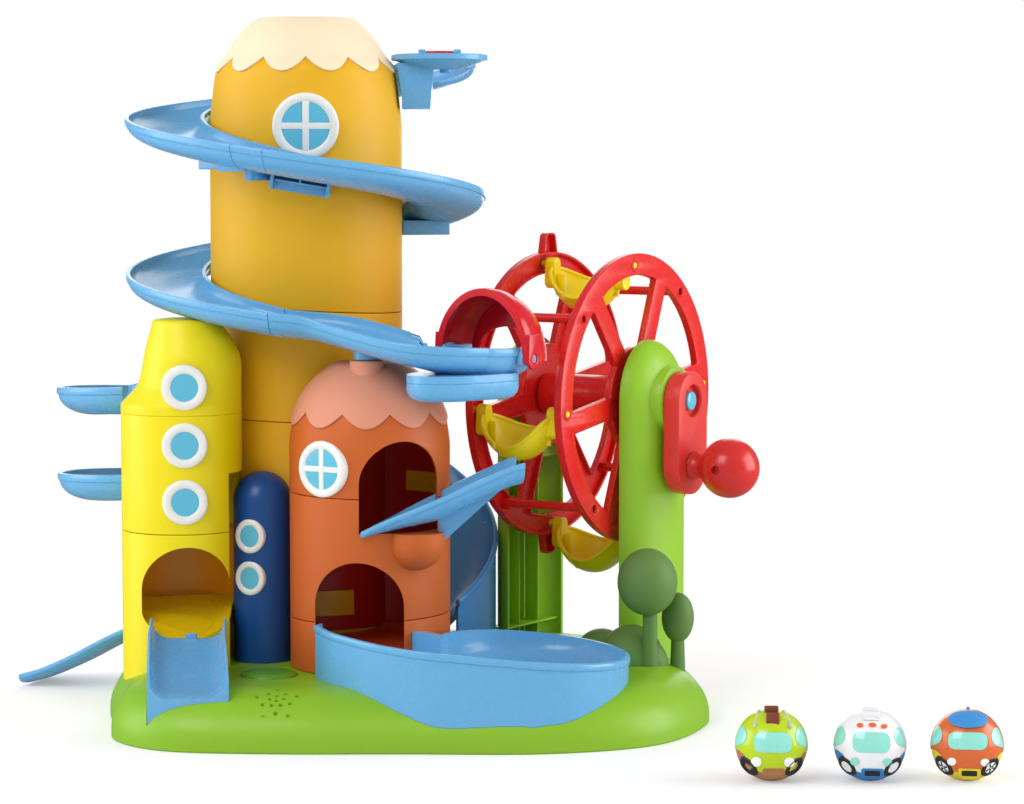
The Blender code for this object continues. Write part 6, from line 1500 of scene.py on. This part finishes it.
# Left slides. Two sky-blue three-quarter turns bring a car round behind the lemon tower, one above the
# other, and a last ramp lets it out to the table. The turns end at the amber and lemon walls.
LOOP_AXIS = (-0.245, 0.066)
LOOP_RADIUS = 0.055
BACK_SLIDE_HALF = 0.034
for name, node, rim in (("loop_slide_high", "upper_loop", 0.3000), ("loop_slide_low", "lower_loop", 0.2184)):
    section = poly_curve("section", [trough_outline(BACK_SLIDE_HALF, 0.027)])
    loop = grown(name, round_slide, standing(LOOP_AXIS), Section=section, Rows=72, Radius=LOOP_RADIUS,
                 First_turn=345.0, Swept_turn=-270.0, First_height=rim + 0.010, Early_slope=-0.020 / 270,
                 Knee=0.0, Knee_height=9.0, Late_slope=0.0)
    carve(loop, post_of_tower(AMBER_AXIS, AMBER_RADIUS + GAP, 0.5))
    carve(loop, post_of_tower(LEMON_AXIS, LEMON_RADIUS + GAP, 0.37))
    dress(loop, sky_blue, "frame", "sky_blue", node)
EXIT_PATH = ((-0.200, 0.085, 0.086), (-0.240, 0.098, 0.074), (-0.280, 0.112, 0.056), (-0.320, 0.126, 0.034),
             (-0.352, 0.137, 0.019), (-0.372, 0.144, 0.0125))
path = smooth(EXIT_PATH, 8)
exit_slide = swept("exit_slide", path,
                   [trough_outline(BACK_SLIDE_HALF, 0.012, lip_tall=0.0050) for _ in path])
leg = block("leg", (-0.245, 0.085, 0.0), (-0.225, 0.110, 0.068), None, 0.0015)
carve(leg, base_solid())
carve(exit_slide, post_of_tower(AMBER_AXIS, AMBER_RADIUS + GAP, 0.5))
join(exit_slide, leg)
dress(exit_slide, sky_blue, "frame", "sky_blue", "exit_ramp")

# Front chute. A straight sky-blue slide from the lemon doorway down over the base's front edge. Its
# side walls get lower on the way, and a snap tab stands at its top.
centre_line = smooth(((-0.1965, -0.0880, 0.0800), (-0.1940, -0.1250, 0.0670), (-0.1895, -0.1650, 0.0530),
                      (-0.1855, -0.2000, 0.0440)), 12)
walls = smooth(((0.0345, 0.0985, 0), (0.0350, 0.0895, 0), (0.0355, 0.0770, 0), (0.0358, 0.0655, 0)), 12)
ROUND_FLOOR = 0.0150
rows = []
for point, wall in zip(centre_line, walls):
    half, top, floor_z = wall.x, wall.y, point.z
    right = [(half - 0.0008, top), (half, top - 0.0008), (half, 0.002)]
    inside = [(-half + 0.0020, top), (-half + 0.0026, top - 0.0006)]
    inside += [(s - half + 0.0026 + ROUND_FLOOR, t + floor_z + ROUND_FLOOR)
               for s, t in arc((0, 0), ROUND_FLOOR, 180, 270, 14)]
    section = right + mirrored(right) + inside + mirrored(inside)
    rows.append([(point.x + s, point.y, z) for s, z in section])
front_slide = loft("front_slide", rows)
pocket = [[(x + (x - point.x) * 0.012, y, z)
           for x, y, z in ((row[0][0], row[0][1], 0.2), (row[2][0], row[2][1], 0.0022),
                           (row[3][0], row[3][1], 0.0022), (row[5][0], row[5][1], 0.2))]
          for row, point in zip(rows, centre_line)]
carve(base, loft("chute pocket", pocket))
sharpen(base)
tab_front = LEMON_AXIS[1] - LEMON_RADIUS - 0.0050
snap = block("snap tab", (-0.1990, tab_front, 0.0680), (-0.1888, tab_front + 0.0040, 0.0845), None, 0.0012)
carve(front_slide, post_of_tower(LEMON_AXIS, LEMON_RADIUS + GAP, 0.2))
carve(front_slide, post_of_tower(BUTTON_PLACE, BUTTON_RADIUS + 0.002, 0.2))
join(front_slide, snap)
dress(front_slide, sky_blue, "frame", "sky_blue", "front_chute")

# Trees and bush. One leaf-green moulding plugged into the base beside the front post: a tall round
# tree, a slim one behind it and low round mounds of bush at their feet.
leaf_green = moulded("matt leaf-green moulded polyethylene", "#5F8340", 0.55, 0.9, 0.07, drift=0.05,
                     gloss=0.35)
grove = ball("small_grove", (0.2215, -0.060, 0.1275), (0.0275, 0.0275, 0.0308), None, 72, 40)
parts = [ball("slim crown", (0.251, -0.033, 0.0905), (0.0150, 0.0150, 0.0233), None, 56, 32)]
for (x, y), radius, top in (((0.224, -0.060), 0.0075, 0.106), ((0.251, -0.033), 0.0068, 0.076)):
    trunk = [(0, top), (radius * 0.88, top), (radius * 0.9, 0.070), (radius, 0.050), (radius + 0.0006, 0.030),
             (0, 0.030)]
    parts.append(turned("trunk", trunk, standing((x, y)), 40))
for x, y, z, wide, tall in ((0.208, -0.035, 0.050, 0.0305, 0.0340), (0.182, 0.008, 0.050, 0.0250, 0.0236),
                            (0.196, -0.050, 0.048, 0.0190, 0.0200), (0.222, -0.044, 0.048, 0.0200, 0.0240)):
    parts.append(ball("mound", (x, y, z), (wide, wide, tall), None, 64, 32))
weld(grove, *parts)
carve(grove, base_solid())
carve(grove, column("post form", 1))
dress(grove, leaf_green, "frame", "leaf_green", "trees_and_bush", angle=24)

# Cars. Three ball cars stand in front, each an upper shell clipped over a lower one of another colour,
# with raised windows, lamps and wheels. The lime one has a brown rack, the white one a light bar and
# the orange one a blue cap.
CAR_RADIUS = 0.0302
CAR_ROW = -0.330
CAR_MIDDLE = 0.0290
FRONT_OF_CAR = -0.045
MARK = 0.0001483
glass = moulded("gloss turquoise printed window", "#93E0D2", 0.15, 3.0, 0.01, drift=0.02, coat=0.4)
black = moulded("satin black moulded tyre", "#2A2A2C", 0.45, 0.8, 0.05, drift=0.02)
lamp_white = moulded("gloss white painted lamp", "#F4F4F2", 0.2, 3.0, 0.01, drift=0.01, coat=0.3)
silver = moulded("silver painted trim", "#C9CCD0", 0.3, 2.0, 0.02, drift=0.02, coat=0.2)
rack_brown = moulded("satin dark-brown moulded rack", "#7E4128", 0.35, 0.9, 0.04, drift=0.03)
beacon = moulded("gloss orange painted beacon", "#E9681C", 0.22, 3.0, 0.01, drift=0.02, coat=0.3)
cap_blue = moulded("satin bright-blue moulded cap", "#3A8FD0", 0.35, 0.9, 0.04, drift=0.03)
FINISHES = {"glass": glass, "black": black, "lamp": lamp_white, "silver": silver, "brown": rack_brown,
            "beacon": beacon, "cap": cap_blue}
# Each car: body, place along the row, upper shell, lower shell (name, colour, slot), shift of its hem.
CARS = (
    ("car_one", 0.3128, ("lime", "#B9D320", "lime"), ("tan", "#B57B4B", "brown"), 0.0),
    ("car_two", 0.3947, ("white", "#EDEDF0", "white"), ("blue", "#2E84CC", "bright_blue"), 2.0),
    ("car_three", 0.4753, ("orange", "#D96A34", "bright_orange"), ("yellow", "#EBD51E", "sun_yellow"), 5.0),
)


def globe(name, centre, radius, segments):
    """A round ball."""
    return ball(name, centre, (radius,) * 3, None, segments, segments // 2)


def marks(points, away):
    """Points measured on the picture about a car's middle, at a depth, as (across, away, up)."""
    return [(x * MARK, away, -y * MARK) for x, y in points]


def patch(name, points, out, place, back=-0.0100):
    """A raised piece of the ball's skin inside an outline that the camera sees."""
    skin = globe(name, (0, 0, 0), CAR_RADIUS + out, 96)
    combine(skin, "INTERSECT", [loft("prism", [marks(points, FRONT_OF_CAR), marks(points, back)])])
    skin.data.transform(place)
    return skin


def rounded(left, top, right, bottom, radius):
    """A rectangle of marks with round corners."""
    return eased([(left, top), (right, top), (right, bottom), (left, bottom)], radius, steps=8)


def oval(x, y, wide, tall):
    """An ellipse of marks."""
    return circle((wide, tall), 48, (x, y))


HEM = ((-240, 30), (-205, 22), (-178, 34), (-150, 56), (-128, 90), (-108, 128), (-80, 146), (-52, 154),
       (-44, 150), (-38, 138), (-30, 132), (62, 132), (72, 138), (78, 150), (86, 152), (112, 140), (136, 112),
       (160, 66), (182, 38), (208, 26), (240, 30))
for number, (body, x, upper, under, shift) in enumerate(CARS, 1):
    centre = Vector((x, CAR_ROW, CAR_MIDDLE))
    away = (centre - viewer.location).normalized()
    right = away.cross(Vector((0, 0, 1))).normalized()
    place = Matrix.Translation(centre) @ Matrix((right, away, right.cross(away))).transposed().to_4x4()
    upper_plastic = moulded(f"gloss {upper[0]} moulded car shell", upper[1], 0.22, 1.0, 0.02, drift=0.03,
                            coat=0.25)
    lower_plastic = moulded(f"satin {under[0]} moulded car base", under[1], 0.34, 1.0, 0.03, drift=0.03)
    lower = globe(f"car_base_{number}", centre, CAR_RADIUS - 0.0005, 96)
    carve(lower, block("foot cut", (x - 0.05, CAR_ROW - 0.05, -0.03), (x + 0.05, CAR_ROW + 0.05, 0.0),
                       edge=0))
    join(lower, patch("bumper", rounded(-46, 130, 78, 190, 12), 0.0003, place))
    plate = patch("plate", rounded(-28, 143, 58, 172, 6), 0.0006, place)
    hem = [(240, -240), (-240, -240)] + [(px + shift, py) for px, py in HEM]
    front_shell = globe(f"car_shell_{number}", (0, 0, 0), CAR_RADIUS, 112)
    combine(front_shell, "INTERSECT", [loft("front", [marks(hem, FRONT_OF_CAR), marks(hem, 0.0)])])
    front_shell.data.transform(place)
    rear = globe("rear shell", centre, CAR_RADIUS, 112)
    combine(rear, "INTERSECT",
            [block("above", (x - 0.05, CAR_ROW, 0.0256), (x + 0.05, CAR_ROW + 0.05, 0.08), None, 0)])
    shell = join(front_shell, rear)
    pieces = {kind: [] for kind in FINISHES}
    left, low = (-96, 43) if number < 3 else (-104, 26)
    pieces["glass"].append(patch("windscreen", rounded(left, -70, 112, low, 46), 0.0004, place))
    for side in (-1, 1):
        window = [(134, -62), (150, -100), (172, -92), (190, -50), (198, -10), (196, 8), (182, 6), (160, -2),
                  (146, -14), (136, -34)]
        window = [(side * (p.x + (4 if side < 0 else 0)), p.y)
                  for p in smooth([(a, b, 0) for a, b in window], 5, closed=True)]
        pieces["glass"].append(patch("side window", window, 0.0003, place, back=-0.0010))
        wide, tall = (30, 27) if number == 1 else (25, 22)
        lamp = oval(-83 if side < 0 else 100, 94, wide, tall)
        pieces["glass" if number == 2 else "lamp"].append(patch("lamp", lamp, 0.0007, place))
        aim = Vector((side * 0.64 + 0.01, -0.45, -0.60)).normalized()
        axle = place @ aim.to_track_quat("Z", "Y").to_matrix().to_4x4()
        tall = CAR_RADIUS * 0.957
        tyre = [(0, tall + 0.0006), (0.0058, tall + 0.0006), (0.0062, tall + 0.0012), (0.0090, tall + 0.0008),
                (0.0098, tall - 0.0006), (0.0098, tall - 0.004), (0, tall - 0.004)]
        pieces["black"].append(turned("tyre", tyre, axle, 56))
        if number > 1:
            disc = [(0, tall + 0.0014), (0.0050, tall + 0.0013), (0.0056, tall + 0.0009), (0.0056, tall),
                    (0, tall)]
            pieces["lamp"].append(turned("wheel disc", disc, axle, 48))
            for k in range(5 if number == 3 else 0):
                spoke = block("spoke", (0.0010, -0.0007, tall + 0.0008), (0.0054, 0.0007, tall + 0.0017),
                              None, 0.0002)
                spoke.data.transform(axle @ Matrix.Rotation(math.radians(72 * k), 4, "Z"))
                pieces["black"].append(spoke)
    if number == 1:
        join(lower, plate)
        for left, top, wide, tall, near in ((-41, -219, 40, 20, -0.0160), (-31, -180, 38, 41, -0.0245)):
            low = (left * MARK, near, -(top + 2 * tall) * MARK)
            high = ((left + 2 * wide) * MARK, 0.0080, -top * MARK)
            pieces["brown"].append(block("rack", low, high, place, 0.0014))
        for side in (-1, 1):
            foot, tip = ((110, -103), (68, -186)) if side > 0 else ((-92, -103), (-72, -186))
            start, end = (Vector((a * MARK, y, -b * MARK)) for (a, b), y in ((foot, -0.0225), (tip, -0.0075)))
            spine = [start.lerp(end, k / 8) for k in range(9)]
            pieces["silver"].append(bead(spine, 0.0014, place))
            pieces["silver"].append(ball("tip", end, (0.0016,) * 3, place, 24, 12))
            pieces["silver"].append(ball("root", start, (0.0014,) * 3, place, 24, 12))
    else:
        pieces["black"].append(plate)
    if number == 2:
        join(shell, block("light bar", (-52 * MARK, -0.0215, 175 * MARK - 0.004),
                          (54 * MARK, 0.0080, 179 * MARK + 0.0010), place, 0.0010),
             block("light bar top", (-50 * MARK, -0.0160, 172 * MARK), (52 * MARK, 0.0075, 214 * MARK), place,
                   0.0014),
             patch("light bar foot", rounded(-48, -182, 54, -138, 8), 0.0010, place))
        for px, py, wide in ((-57, -109, 18), (12, -112, 22), (78, -106, 18)):
            pieces["beacon"].append(patch("beacon", oval(px, py, wide, 12), 0.0010, place))
    elif number == 3:
        pieces["cap"].append(patch("cap", oval(4, -143, 111, 49), 0.0016, place))
        stalk = turned("stalk", [(0, 214 * MARK), (0.0013, 213 * MARK), (0.0015, 205 * MARK),
                                 (0.0018, 178 * MARK), (0, 178 * MARK)],
                       place @ Matrix.Translation((3 * MARK, -0.0045, 0)), 28)
        pieces["cap"].append(stalk)
    dress(shell, upper_plastic, body, upper[2], f"car_{number}_upper", angle=24)
    dress(lower, lower_plastic, body, under[2], f"car_{number}_lower", angle=24)
    for kind, plastic in FINISHES.items():
        if pieces[kind]:
            made = join(pieces[kind][0], *pieces[kind][1:])
            made.name = f"car_{kind}_{number}"
            dress(made, plastic, body, upper[2], angle=24)

# Hidden parts. The base plate, battery door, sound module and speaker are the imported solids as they
# are. The plate and the door take the base's green plastic, the other two a black one.
for node, plastic in (("base_plate", green_base), ("battery_door", green_base), ("sound_module", black),
                      ("speaker", black)):
    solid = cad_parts[node]
    for cell in solid.material_slots:
        cell.material = plastic
